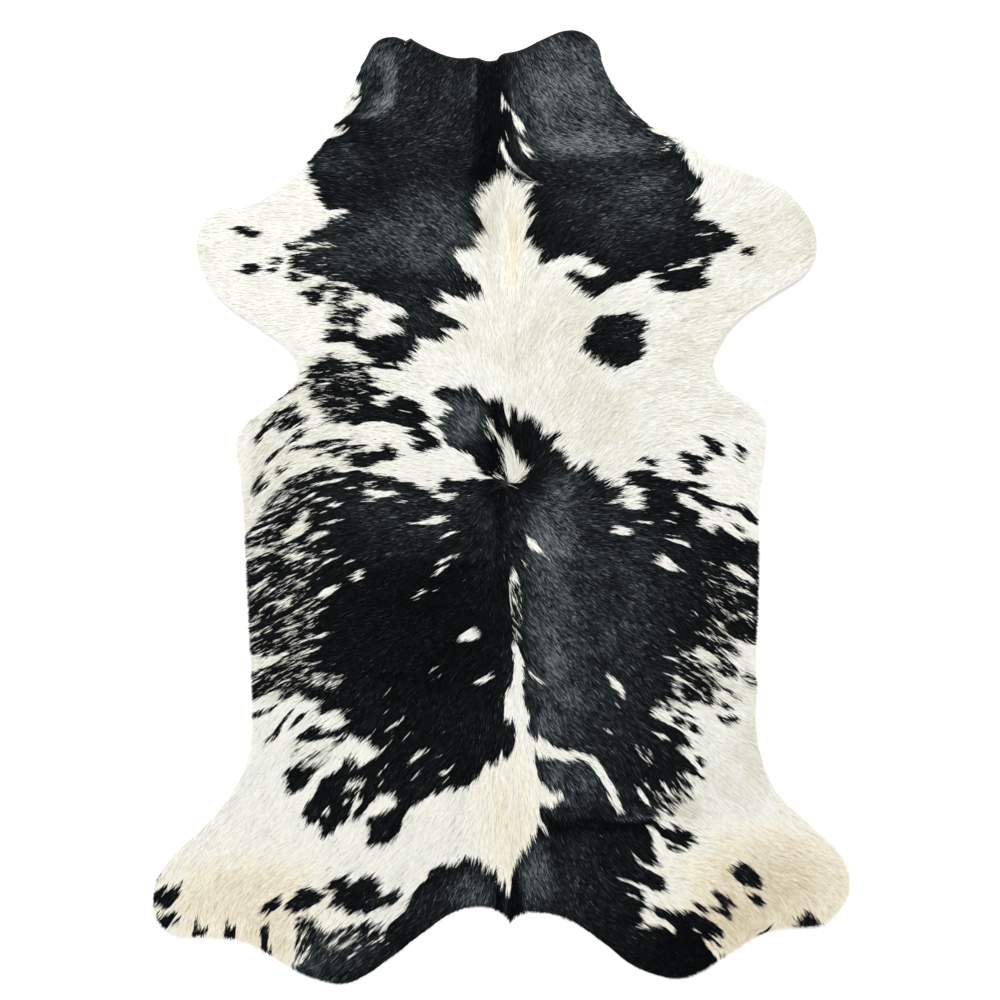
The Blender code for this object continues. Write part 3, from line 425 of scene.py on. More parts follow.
whitePatches = {
    "nape flecks": [
        [(0, 91), (0.9, 89), (1.9, 87.2), (3.3, 86), (4.6, 84), (5.2, 82.6), (4.2, 81.8), (3.2, 82.6),
         (2.5, 84), (2.2, 86), (1.2, 87.5), (0.5, 88.3), (0.2, 86.3), (-0.3, 88.3)],
        [(3.4, 80.5), (4.5, 80.4), (6, 78.8), (7, 77.4), (6, 77.3), (6.8, 76), (5.3, 76.6), (4.2, 78),
         (3.8, 79.5)],
        [(0.1, 80.2), (-0.6, 78.8), (-0.9, 77.4), (0.1, 76.8), (1, 75.6), (2.4, 74), (4.2, 72.5),
         (7.4, 71.3), (5, 72.8), (3.4, 74.2), (2, 75.9), (1.1, 77.7)]],
    "nape strand": [
        [(0.6, 81.9), (0.9, 81.9), (2.2, 79.4), (1.9, 79.4)]],
    "left cheek, notch": [
        [(-22.8, 103.6), (-20.9, 103.6), (-20.9, 100.8), (-22.2, 101.6)]],
    "right shoulder wedge": [
        [(36.5, 51.3), (39, 51.8), (43.5, 52.6), (42.4, 53.4), (45, 54.6), (42, 54.2), (40.3, 52.9),
         (38, 52.2)]],
    "right shoulder strands": [
        [(34, 52), (36, 52.9), (38, 53.2), (37, 52.6)],
        [(41.5, 59), (44, 59.8), (47, 59.6), (44.5, 59.2)]],
    "right throat curl": [
        [(35.2, 77.5), (36.2, 78.2), (37, 80), (36.4, 80.8), (36, 79.5), (35.3, 78.3), (34.6, 77.7)]],
    "right throat nick": [
        [(28.3, 86.6), (28.8, 84.9), (29.3, 85.6), (29.1, 86.9)]],
    "left shoulder sliver": [
        [(-36, 48.5), (-34.5, 48.9), (-32.7, 48.7), (-34, 48)]],
    "left brisket slivers": [
        [(-36, 29.4), (-33, 29.2), (-31, 29), (-31.2, 28.3), (-33.5, 28.9)],
        [(-39, 26.6), (-37, 27.5), (-36, 27.4), (-37.5, 26.7)],
        [(-38.5, 25.1), (-36.5, 25.5), (-36.3, 25.1)],
        [(-39.5, 23.7), (-38, 24), (-38, 23.6)],
        [(-23.2, 20.9), (-20, 20.5), (-17.8, 19.9), (-19.5, 20)],
        [(-50, 18.6), (-48, 18.9), (-47, 20), (-48, 19.6)]],
    "withers strand": [
        [(-3.2, 18.8), (-2.8, 18.8), (-1.2, 16.2), (0.4, 13.4), (-0.4, 13.4), (-1.8, 15.4)]],
    "whorl tuft": [
        [(-0.1, 13.6), (0.3, 14.8), (0.8, 15.6), (1.5, 14.2), (2.6, 12), (3.7, 10), (4.6, 8.8), (5.6, 9.4),
         (6.2, 7.8), (5.4, 5.8), (3.8, 4.7), (2, 4.4), (0.8, 5), (0.6, 7), (0.3, 9), (0.3, 11.4)]],
    "left barrel strands": [
        [(-41.8, 4), (-40.5, 5), (-38, 5.7), (-35.5, 6.1), (-34.2, 5.7), (-35.5, 5.2), (-38, 4.7),
         (-40, 4.2)],
        [(-35, 3.4), (-33, 4.1), (-31, 4.2), (-29.6, 4.6), (-31, 3.8), (-33, 3.6)],
        [(-22.6, 0.8), (-21.6, 1.2), (-20, 1), (-20.6, 0.4), (-22, 0.2)],
        [(-7.8, 2.6), (-6.8, 1.9), (-5.2, 2.2), (-6.5, 2.3)],
        [(-7, 3.1), (-5, 3), (-6, 2.8)],
        [(-50.3, 0.6), (-48.5, 1.2), (-46.5, 1.6), (-45.2, 1.9), (-46.5, 1.3), (-48.3, 0.7), (-49.6, 0)],
        [(-52.2, -2.2), (-50.8, -1.2), (-49, -0.7), (-46.8, -0.3), (-48.4, -0.9), (-50.2, -1.6)],
        [(-43.4, 1.4), (-42, 2.6), (-40.2, 3.2), (-40.8, 2.2), (-42.2, 1.5), (-43.6, 0.7)],
        [(-42.2, 0.7), (-40.6, 1.5), (-38.6, 2), (-36.8, 1.8), (-38.6, 1.2), (-40.4, 0.8)],
        [(-38.3, 0.2), (-36.4, 0.8), (-34.6, 0.6), (-34.4, 0), (-36, -0.4), (-38, -1), (-40.2, -1.8),
         (-38.6, -1.6), (-36.4, -0.5)],
        [(-40.2, -4.2), (-38.6, -3.6), (-36.4, -3.2), (-34.8, -2.6), (-34.6, -3.1), (-36.6, -4),
         (-38.6, -4.2)],
        [(-42.6, -7), (-41.6, -6.4), (-40.2, -5.6), (-38.6, -5.4), (-37.2, -5.2), (-37.6, -5.8),
         (-38.2, -6.8), (-39.8, -7.2), (-41.4, -7.8)],
        [(-56, -4.8), (-54.4, -3.6), (-52.6, -2), (-53, -3), (-54.6, -4.6), (-55.8, -6)],
        [(-56.2, -6.8), (-54.6, -5.8), (-52.6, -5), (-50.6, -4.2), (-51.6, -5.4), (-53.6, -6.2),
         (-55.6, -7.2)],
        [(-56.5, -9.6), (-54.6, -9.2), (-52.4, -9.1), (-50.2, -9.4), (-49.4, -10), (-51.6, -10.4),
         (-53.6, -11.2), (-55.8, -12), (-56.8, -12), (-54.6, -10.6), (-56, -10.2)],
        [(-49.5, -10.8), (-47.6, -11), (-45.6, -10.4), (-43.4, -10.2), (-42.8, -11.2), (-44, -12),
         (-45.4, -12.2), (-46.4, -11.6), (-48, -11.4)],
        [(-44.6, -12.6), (-42.4, -12), (-40, -11.4), (-38, -11.6), (-40, -12), (-42.4, -12.7)],
        [(-39.8, -10.4), (-38.4, -9.8), (-37, -9.7), (-37.4, -10.4), (-38.8, -10.8)],
        [(-41, -14), (-39.4, -13.2), (-38, -12.8), (-36.6, -12), (-35, -11.2), (-34.6, -10.9),
         (-36.6, -11.2), (-38.4, -12.2), (-40, -13.4)],
        [(-35.2, -12.8), (-33.2, -12), (-31, -11.6), (-32.6, -12.3), (-34, -12.9)],
        [(-33, -15.4), (-32.3, -14.5), (-31.2, -14.2), (-30.3, -14.8), (-30.2, -15.8), (-31, -16.6),
         (-32.2, -16.5)],
        [(-40.3, -19.6), (-39, -18.8), (-37.8, -17.8), (-36.2, -17.6), (-35.2, -17.9), (-36, -18.6),
         (-37, -19.6), (-38.6, -20.4), (-39.6, -20.2)],
        [(-42.8, -23.4), (-41.4, -22.4), (-40, -21.8), (-39.2, -20.6), (-40.6, -21.6), (-42.4, -22.8)],
        [(-43.2, -25.4), (-41.4, -24.2), (-39.6, -22.8), (-38, -22), (-35.8, -21.3), (-38, -22.4),
         (-40, -23.6), (-42, -25)],
        [(-49.8, -27.8), (-48, -27), (-45.6, -26.4), (-42.8, -25.8), (-44.6, -26.6), (-46.6, -27.2),
         (-48.8, -28)],
        [(-52, -21.6), (-50.2, -21), (-48, -20.6), (-46, -21.2), (-45.6, -21.6), (-47.2, -22.6),
         (-48.8, -23), (-48, -22), (-50, -21.8)],
        [(-55.6, -18.6), (-53.8, -17.4), (-51.8, -16), (-50.4, -15.2), (-49.8, -15.4), (-51.4, -16.8),
         (-53.4, -18), (-55, -19.4)],
        [(-55.6, -26.6), (-54, -25.4), (-52.6, -24.8), (-53, -25.4), (-54.6, -26.6), (-55.6, -27)],
        [(-51.6, -27.6), (-50.4, -26.2), (-49.2, -25), (-50, -26.6), (-51.4, -28.4)],
        [(-42.4, -29.4), (-40.8, -28.8), (-39.2, -28), (-37.4, -28), (-38.4, -28.8), (-40.4, -29.4)],
        [(-45.6, -32.8), (-43.6, -32), (-41.4, -31.8), (-40, -30.8), (-38.8, -30.5), (-40.2, -31.8),
         (-42, -32.4), (-44.4, -33)],
        [(-44.8, -38), (-43, -36.4), (-40.4, -35.1), (-42, -36.2), (-43.8, -37.8)],
        [(-43.6, -34.8), (-41.6, -34.6), (-39.4, -34.2), (-40.4, -34.9), (-42.4, -35.2)],
        [(-10.3, -4), (-8.6, -3.7), (-9.4, -4.1)],
        [(-15.4, -19), (-14.2, -18.4), (-13, -18), (-13.6, -18.5)],
        [(-13.4, -17.2), (-12.2, -16.8), (-12.6, -17.3)],
        [(-19.6, -21), (-18.2, -20.4), (-18.6, -21.2)],
        [(-15.8, -36.6), (-15, -35.6), (-13.8, -35.3), (-14.4, -36)],
        [(-14.6, -38), (-13.2, -37), (-12.4, -36.9), (-13.4, -37.6)],
        [(-2.5, -41.2), (-1.8, -40.2), (-1.5, -39.5), (-1.8, -40.6)]],
    "left barrel flecks": [
        [(-29.8, 5.2), (-28.4, 5.2), (-28, 4.2), (-27.2, 3.3), (-25.5, 3.1), (-22.9, 3.2), (-22, 2.4),
         (-24, 1.9), (-26.4, 1.5), (-28.8, 0.6), (-29.8, 0.6), (-28.8, 1.8), (-29.6, 3), (-28.4, 3.4)],
        [(-48.6, -6), (-46.6, -5.2), (-45.4, -4), (-44.2, -2.4), (-43, -1), (-41.6, -1), (-41, -1.6),
         (-42, -2.6), (-43.2, -3.6), (-42, -4.4), (-40.6, -4.2), (-42, -5.2), (-43.2, -6.2), (-44.6, -7),
         (-46, -7.6), (-47.6, -8.4), (-50, -8.6), (-51, -8.2), (-48.6, -7.8), (-47, -7), (-48.4, -6.6)],
        [(-21.5, -4), (-19.6, -3.6), (-17, -3.6), (-15.4, -3.2), (-14.8, -2.4), (-13, -2.2), (-11.4, -2.4),
         (-10.8, -3), (-11.2, -3.7), (-12.6, -3.6), (-13.8, -4.2), (-15, -4.4), (-18, -4.2), (-20.4, -4.3)],
        [(-12.9, -7), (-12.4, -6.1), (-11, -5.8), (-9.2, -5.5), (-10.4, -6.4), (-11.8, -7.2)],
        [(-14.5, -13), (-13.4, -12), (-12, -11.2), (-10, -11), (-8.2, -11.2), (-9.6, -11.6), (-11.4, -12),
         (-13, -12.6)],
        [(-14.6, -15.2), (-13.8, -14), (-12.2, -13), (-11.4, -12.9), (-12, -13.8), (-13.2, -14.8)],
        [(-20, -20.6), (-18.4, -20), (-16.6, -19.2), (-16, -18.5), (-17.4, -18.4), (-18.8, -19),
         (-17.2, -18.9), (-18.8, -19.8)],
        [(-9.2, -29), (-8.6, -28.2), (-7.2, -27.2), (-6, -26.6), (-5.2, -26.2), (-5.2, -27.2), (-4.2, -28),
         (-3.9, -28.4), (-5.2, -29.2), (-6.4, -29.8), (-7.6, -29.4), (-8.6, -29.6)],
        [(-6.2, -39), (-5, -38.2), (-3.6, -37.6), (-2.4, -36.8), (-1.2, -36.8), (-1.3, -37.6), (-2.4, -38.6),
         (-4, -39.2), (-5.2, -39.6)]],
    "left flank wedge": [
        [(-56, -32.7), (-53.5, -32.4), (-52, -33.2), (-50, -33), (-48, -32.3), (-45.8, -31.7),
         (-46.8, -32.8), (-48.6, -34), (-50.5, -35.2), (-53, -36), (-56, -37)]],
    "left loin strands": [
        [(-26, -45.8), (-25, -44.6), (-23.7, -43.3), (-24.2, -44.4), (-24.8, -45.2)],
        [(-25.3, -49.2), (-23.8, -47.8), (-22.6, -47.3), (-21.1, -46.2), (-21.4, -47.4), (-22.4, -48),
         (-23.8, -48.8)],
        [(-19, -47.9), (-18, -46.8), (-17.2, -46.2), (-18, -47.2)],
        [(-21.6, -51), (-20.2, -50), (-18.8, -49.3), (-19.2, -50), (-20.4, -50.4)],
        [(-30, -52), (-28.6, -50.2), (-27.2, -49.3), (-28.8, -51)],
        [(-14, -55.1), (-12.8, -54.2), (-11.9, -53.7), (-12.8, -54.6)],
        [(-13, -60.8), (-11.8, -60), (-10.9, -59.5), (-11.8, -60.4)],
        [(-27, -59), (-26, -57.6), (-24.8, -57), (-25.8, -58.2)],
        [(-26.3, -42.5), (-25.9, -42.4), (-24.2, -40.1), (-24.6, -40.2)],
        [(-34, -44.7), (-31.5, -44.6), (-31.5, -44.2), (-34, -44.3)],
        [(-34.9, -41.5), (-34.5, -41.4), (-33, -40.1), (-33.4, -40.2)],
        [(-27.2, -62), (-26.8, -61.9), (-25.8, -60.2), (-26.2, -60.3)]],
    "left loin flecks": [
        [(-20.4, -57), (-19.8, -55.8), (-18.8, -54.4), (-17.8, -53.4), (-17.2, -54), (-16, -54.2),
         (-17, -54.8), (-18.2, -55.4), (-19.4, -56.4)],
        [(-19.4, -59.9), (-18.8, -58.8), (-17.6, -58.4), (-17.8, -59.4), (-18.4, -59.9)],
        [(-13.6, -58.8), (-12.4, -57.8), (-10.8, -57.4), (-11.2, -58.4), (-12.4, -59.3)]],
    "left loin, fork, upper": [
        [(-34.8, -63), (-34.6, -62), (-34.2, -61.1), (-33.3, -60.2), (-32.3, -59.7), (-31.3, -59.9),
         (-30.6, -60.3), (-29.5, -59.9), (-29.6, -61.2), (-30.8, -62.2), (-31.3, -62.7), (-31, -61.5),
         (-32, -61.7), (-33.3, -62), (-34.3, -62.7)]],
    "left loin, fork, lower": [
        [(-34.6, -65), (-34.3, -64.4), (-33.6, -63.7), (-32.8, -64), (-33.3, -64.7), (-34.1, -66),
         (-34.6, -65.8)]],
    "left loin, lump, streak": [
        [(-39.5, -63), (-39.1, -63), (-39, -64.4), (-38.8, -65.4), (-39.4, -64.7)]],
    "left loin, lump, spot": [
        [(-38.4, -66.2), (-37.9, -65.7), (-37.1, -65.9), (-37.3, -67.3), (-38, -67.9), (-38.4, -67.2),
         (-39, -67.2)]],
    "spine strands": [
        [(5, -6.4), (6.2, -6.2), (7.4, -7.8), (8.6, -9.3), (10, -11.4), (8.4, -10.9), (6.6, -9.8),
         (5.3, -8.2)],
        [(4, -11.3), (4.6, -12), (5.6, -13.2), (4.4, -13)]],
    "spine tuft": [
        [(2.6, -13.5), (1.8, -14.8), (1.9, -16.4), (1.4, -17.6), (1.7, -18.6), (2.2, -17.2), (2.8, -16.6),
         (3.1, -17.6), (3.6, -16.2), (3.4, -14.9)]],
    "right barrel strands": [
        [(6, -35.8), (6.4, -36.8), (7.2, -37.4), (8.4, -38.2), (9.8, -39.4), (8, -38.8), (6.8, -38.2),
         (6.2, -37.4)],
        [(28.2, -3.7), (29.8, -3.4), (32.5, -3.5), (33.8, -3.8), (32, -3.9), (29.5, -3.9)],
        [(35.4, -1.3), (36.8, -1.2), (38.6, -1.7), (37.4, -1.9)],
        [(35, -2.9), (36.5, -3.3), (38.8, -3.8), (37.6, -4), (36, -3.7)],
        [(35.8, -5), (38.8, -4.9), (37.8, -5.3)],
        [(34.4, -6.9), (36.5, -7.2), (38.3, -7.2), (40.4, -8), (41.6, -9), (39, -8.6), (36, -7.5)],
        [(36, -6), (38, -6.5), (39, -7), (37, -6.6)],
        [(44.4, -12), (46, -12.6), (47.5, -12.9), (46.2, -13.2)],
        [(44.5, -16.2), (46, -16.4), (47.4, -17), (48.8, -17.8), (47.2, -17.4)],
        [(46.2, -15.4), (48, -16), (49.5, -16.8), (48, -16.4)],
        [(49.8, -18.6), (51.4, -18.2), (53, -17.9), (54.2, -18.6), (55.4, -20.2), (56.2, -21.2), (54.6, -20),
         (53, -19.2), (51.4, -19)],
        [(46.4, -19.6), (48, -20), (49.4, -20.4), (48, -20.3)],
        [(46.6, -21.8), (48, -22), (50, -21.8), (52, -21.4), (53.4, -21.9), (51.6, -21.8), (50, -22.1),
         (47.8, -22.4)],
        [(52.8, -22.6), (54.4, -23.2), (56, -24.6), (54.4, -24)],
        [(50, -22.6), (52, -23.2), (54, -24.4), (56, -26), (54, -25), (52, -24)],
        [(35.6, -26.4), (37.4, -27.4), (38.6, -28.5), (37, -27.6)],
        [(41, -22.6), (42.4, -23.2), (43.6, -24.5), (42.2, -23.6)],
        [(45.8, -25), (47.4, -25), (48.6, -26), (49, -26.8), (47.4, -26.2)],
        [(35.8, -33.3), (37, -33.2), (38.2, -33.8), (39.2, -34.5), (37.8, -34.4), (36.6, -33.9)],
        [(35.4, -36.4), (37, -37.2), (38.6, -37.6), (40.2, -38.8), (38.2, -38.2), (36.2, -37.2)],
        [(41, -36.4), (42.4, -36.8), (44, -37), (42.4, -37.2)],
        [(36.4, -39.8), (37.8, -40.2), (39.2, -41), (40, -42.2), (38.4, -41.6), (37, -40.6)],
        [(33.6, -43.2), (34.4, -42.4), (35.6, -43.2), (36.4, -44), (35, -43.8)],
        [(25.2, -42), (26, -41.4), (26.8, -42.2), (26, -42.4)],
        [(24.2, -42.8), (25.2, -43.4), (26.8, -44.8), (25.4, -44.2)]],
    "right barrel flecks": [
        [(22.5, 0.5), (23.5, 1.2), (24.6, 1.6), (25.3, 0.9), (24.3, 0.2), (23.4, 0.2)],
        [(22.8, -5.5), (24, -5.2), (23.8, -4.6), (25.2, -4.2), (27.3, -4.9), (28.4, -5.4), (27.5, -6.4),
         (26.8, -6.8), (25, -6.4)],
        [(32, -12.5), (33, -12.2), (34, -11.6), (33.5, -10.7), (35.5, -10.5), (37, -11.8), (38, -13),
         (39.5, -14), (38.5, -14.8), (36.5, -14), (34.5, -13.2)],
        [(49.3, -12), (51, -12.8), (52.5, -14), (54.5, -15.4), (55.2, -17), (53.5, -16.4), (51.5, -15.6),
         (50, -14.6), (49.6, -13.3)],
        [(41.4, -28), (43.2, -27.9), (44.4, -27.2), (45.2, -28.4), (47, -28.8), (49, -29.2), (50.2, -30),
         (48, -29.5), (45.4, -29.2), (43.4, -28.5)],
        [(40.6, -32.6), (42, -32.4), (41.6, -31.8), (43.4, -31.2), (45, -32), (46.6, -32.6), (47.4, -33.4),
         (48, -34.6), (46.2, -34.6), (44, -34.6), (42.4, -34.6), (40.4, -33.8), (42, -34.2), (42.6, -33.4)]],
    "right barrel, long strand": [
        [(23, -36.8), (24, -37.4), (25, -38.2), (26, -38.8), (26.2, -39.8), (27, -40.8), (28, -41.8),
         (26.6, -41.4), (25.4, -40.8), (24.4, -40.2), (23.6, -39.8), (24, -38.8), (23.2, -37.8)]],
    "right loin, fleck": [
        [(21.8, -49), (22.6, -48.5), (23.2, -48.8), (24, -49.5), (23.2, -50), (22.4, -49.6)]],
    "right loin strands": [
        [(32.6, -49.6), (34, -50), (35.6, -50.2), (37, -51.4), (36, -51.8), (34.6, -51)],
        [(30.2, -60), (31, -60), (32, -60.8), (32.8, -62.2), (31.6, -61.8), (31, -61)],
        [(28.6, -61), (29.8, -62), (30.6, -62.4), (31.4, -63.6), (32, -64.8), (33, -66.2), (34, -66.6),
         (35, -67.8), (34, -67), (32.6, -66.2), (31.4, -65.4), (30.2, -64.8), (30, -63.6), (29.9, -62.6)],
        [(34.4, -60), (35.6, -60.4), (36.4, -62), (37.4, -63.8), (38.4, -65), (37.2, -64.2), (36, -62.8),
         (35, -61.4)],
        [(38.4, -58.6), (39, -58.8), (40.2, -60.2), (39, -59.6)]],
    "right haunch, streak": [
        [(27.1, -85.2), (28.4, -85.2), (29.9, -85.7), (29.4, -86.2), (28.1, -86.1)]],
    "right ham, streak": [
        [(41.7, -92.3), (42.6, -93), (43.6, -93.8), (44.6, -94.3), (43.4, -94.2), (42.4, -93.6)]],
    "left ham streaks": [
        [(-33.6, -95), (-32.6, -94.4), (-31.6, -93.8), (-31.1, -93.6), (-31.4, -94.1), (-32.2, -94.7),
         (-33, -95.1)],
        [(-34.6, -96.2), (-33.4, -95.6), (-32.4, -95.3), (-30.9, -95.1), (-31.9, -95.9), (-33.9, -96.5)],
        [(-37.7, -96.3), (-36.5, -95.2), (-35.7, -94.8), (-36.2, -95.9), (-37.2, -96.8), (-38.6, -97.7)],
        [(-38, -99.1), (-37.1, -97.8), (-35.2, -96.6), (-36.7, -97.9)],
        [(-34.4, -99.7), (-32.5, -98.3), (-30.2, -97.2), (-31.9, -98.6), (-33.6, -99.6)],
        [(-28.9, -96.3), (-27.6, -95.6), (-26.2, -94.7), (-25, -94.2), (-24.6, -94.4), (-26, -95.4),
         (-27.4, -96)],
        [(-41.4, -97.2), (-42.4, -98), (-43.5, -100), (-45.8, -101.8), (-45, -100.6), (-43.8, -98.8),
         (-43, -97.4)]],
}

# Zones where hairs of both colours grow mixed: share of the hairs that turn white
mixedZones = [
    ("left flank", 0.14, [(-58, 3), (-42, 4), (-40, -20), (-43, -43), (-58, -44)]),
    ("left barrel, lower", 0.34, [(-42, -37), (-36, -36.6), (-34.5, -38.5), (-36, -40), (-42, -39.8)]),
    ("left loin, strands", 0.5, [(-47, -52), (-38, -51.6), (-36, -53), (-38, -57.4), (-46, -57.6)]),
    ("withers streak", 0.3, [
        (-4.8, 18.6), (-2.4, 17.4), (-1.8, 18.8), (-1.2, 17.2), (-0.4, 15.4), (0.3, 13), (1, 15.2),
        (2.2, 14.4), (3, 12), (5, 9.6), (6, 8), (5.4, 5.4), (3, 4), (0, 4.2), (-2.4, 6.6), (-0.2, 8.6),
        (-0.6, 12.4), (-2, 14), (-3.4, 15)]),
    ("spine", 0.3, [(2.2, -18), (4, -17), (4.5, -24), (4.2, -29), (2.6, -29), (2.4, -23)]),
    ("right flank", 0.09, [(44, -12), (58, -13), (58, -30), (44, -31)]),
    ("right flank, lower", 0.22, [(39, -31), (54, -31), (53, -44), (36, -45)]),
    ("right loin", 0.22, [(29.5, -53.4), (33, -53.6), (33, -56.5), (29.5, -56.4)]),
    ("right thigh, edge", 0.3, [(33, -63.5), (39.5, -60.5), (42, -64), (36, -68.5)]),
    ("left shoulder, edge", 0.24, [(-46.5, 57.8), (-37, 57.8), (-37, 55.6), (-46.5, 55.2)]),
    ("left shoulder, rear edge", 0.06, [(-47, 55), (-38, 55), (-34, 49), (-43, 49)]),
    ("left shoulder, strands", 0.1, [(-46, 49), (-33, 49.4), (-28, 46), (-28, 37.5), (-39, 37.5), (-39, 44)]),
    ("right flank tuft", 0.4, [(51, -36), (57, -36), (57, -41), (52, -41)]),
    ("left brisket, front", 0.12, [(-43, 33), (-28, 33), (-31, 20), (-43, 20)]),
    ("left brisket, strands", 0.16, [(-56, 22), (-43, 28), (-29, 15), (-29, 9.5), (-54, 2)]),
    ("left ham, rim", 0.22, [(-46, -90), (-43, -90), (-42, -100), (-46, -102)]),
    ("left ham, top", 0.15, [(-40, -93), (-25, -92), (-25, -97), (-39, -97.5)]),
]

coatGrid = {"cell": 0.1, "left": -80.0, "bottom": -108.0, "columns": 1600, "rows": 2160}


def paintPatch(field, outline, value):
    # fills one closed outline on the grid, row by row between its edges
    cell = coatGrid["cell"]
    px, py = np.array(outline, float).T
    c0, c1 = (int(np.clip((v - coatGrid["left"]) / cell, 0, coatGrid["columns"]))
              for v in (px.min(), px.max() + cell))
    r0, r1 = (int(np.clip((v - coatGrid["bottom"]) / cell, 0, coatGrid["rows"]))
              for v in (py.min(), py.max() + cell))
    xs = coatGrid["left"] + (np.arange(c0, c1) + 0.5) * cell
    ys = coatGrid["bottom"] + (np.arange(r0, r1) + 0.5) * cell
    inside = np.zeros((len(ys), len(xs)), bool)
    for x0, y0, x1, y1 in zip(px, py, np.roll(px, -1), np.roll(py, -1)):
        rows = (ys < y0) != (ys < y1)
        if rows.any():
            meets = x0 + (ys[rows] - y0) * (x1 - x0) / (y1 - y0)
            inside[rows] ^= xs[None, :] < meets[:, None]
    field[r0:r1, c0:c1][inside] = value


def readGrid(field, across, along, grid=coatGrid):
    # value between the four nearest cells
    c = np.clip((across - grid["left"]) / grid["cell"] - 0.5, 0, field.shape[1] - 1.001)
    r = np.clip((along - grid["bottom"]) / grid["cell"] - 0.5, 0, field.shape[0] - 1.001)
    ci, ri = c.astype(int), r.astype(int)
    fc, fr = c - ci, r - ri
    return ((field[ri, ci] * (1 - fc) + field[ri, ci + 1] * fc) * (1 - fr)
            + (field[ri + 1, ci] * (1 - fc) + field[ri + 1, ci + 1] * fc) * fr)


def widened(field, reach):
    # the largest value within about the given number of centimetres
    for side in (0, 1):
        step, left = 1, round(reach / coatGrid["cell"])
        while left > 0:
            move = min(step, left)
            field = np.maximum(np.roll(field, move, side), np.roll(field, -move, side))
            step, left = step * 2, left - step
    return field


black = np.zeros((coatGrid["rows"], coatGrid["columns"]), np.float32)
mixed = np.zeros_like(black)
for value, patches in ((1.0, blackPatches), (0.0, whitePatches)):
    for outline in sum(patches.values(), []):
        paintPatch(black, outline, value)
for name, share, outline in mixedZones:
    paintPatch(mixed, outline, share)
# hair blurs the border by 1 mm
for side in (0, 1):
    black = sum(np.roll(black, step, side) for step in (-1, 0, 1)) / 3
print("the coat is painted")

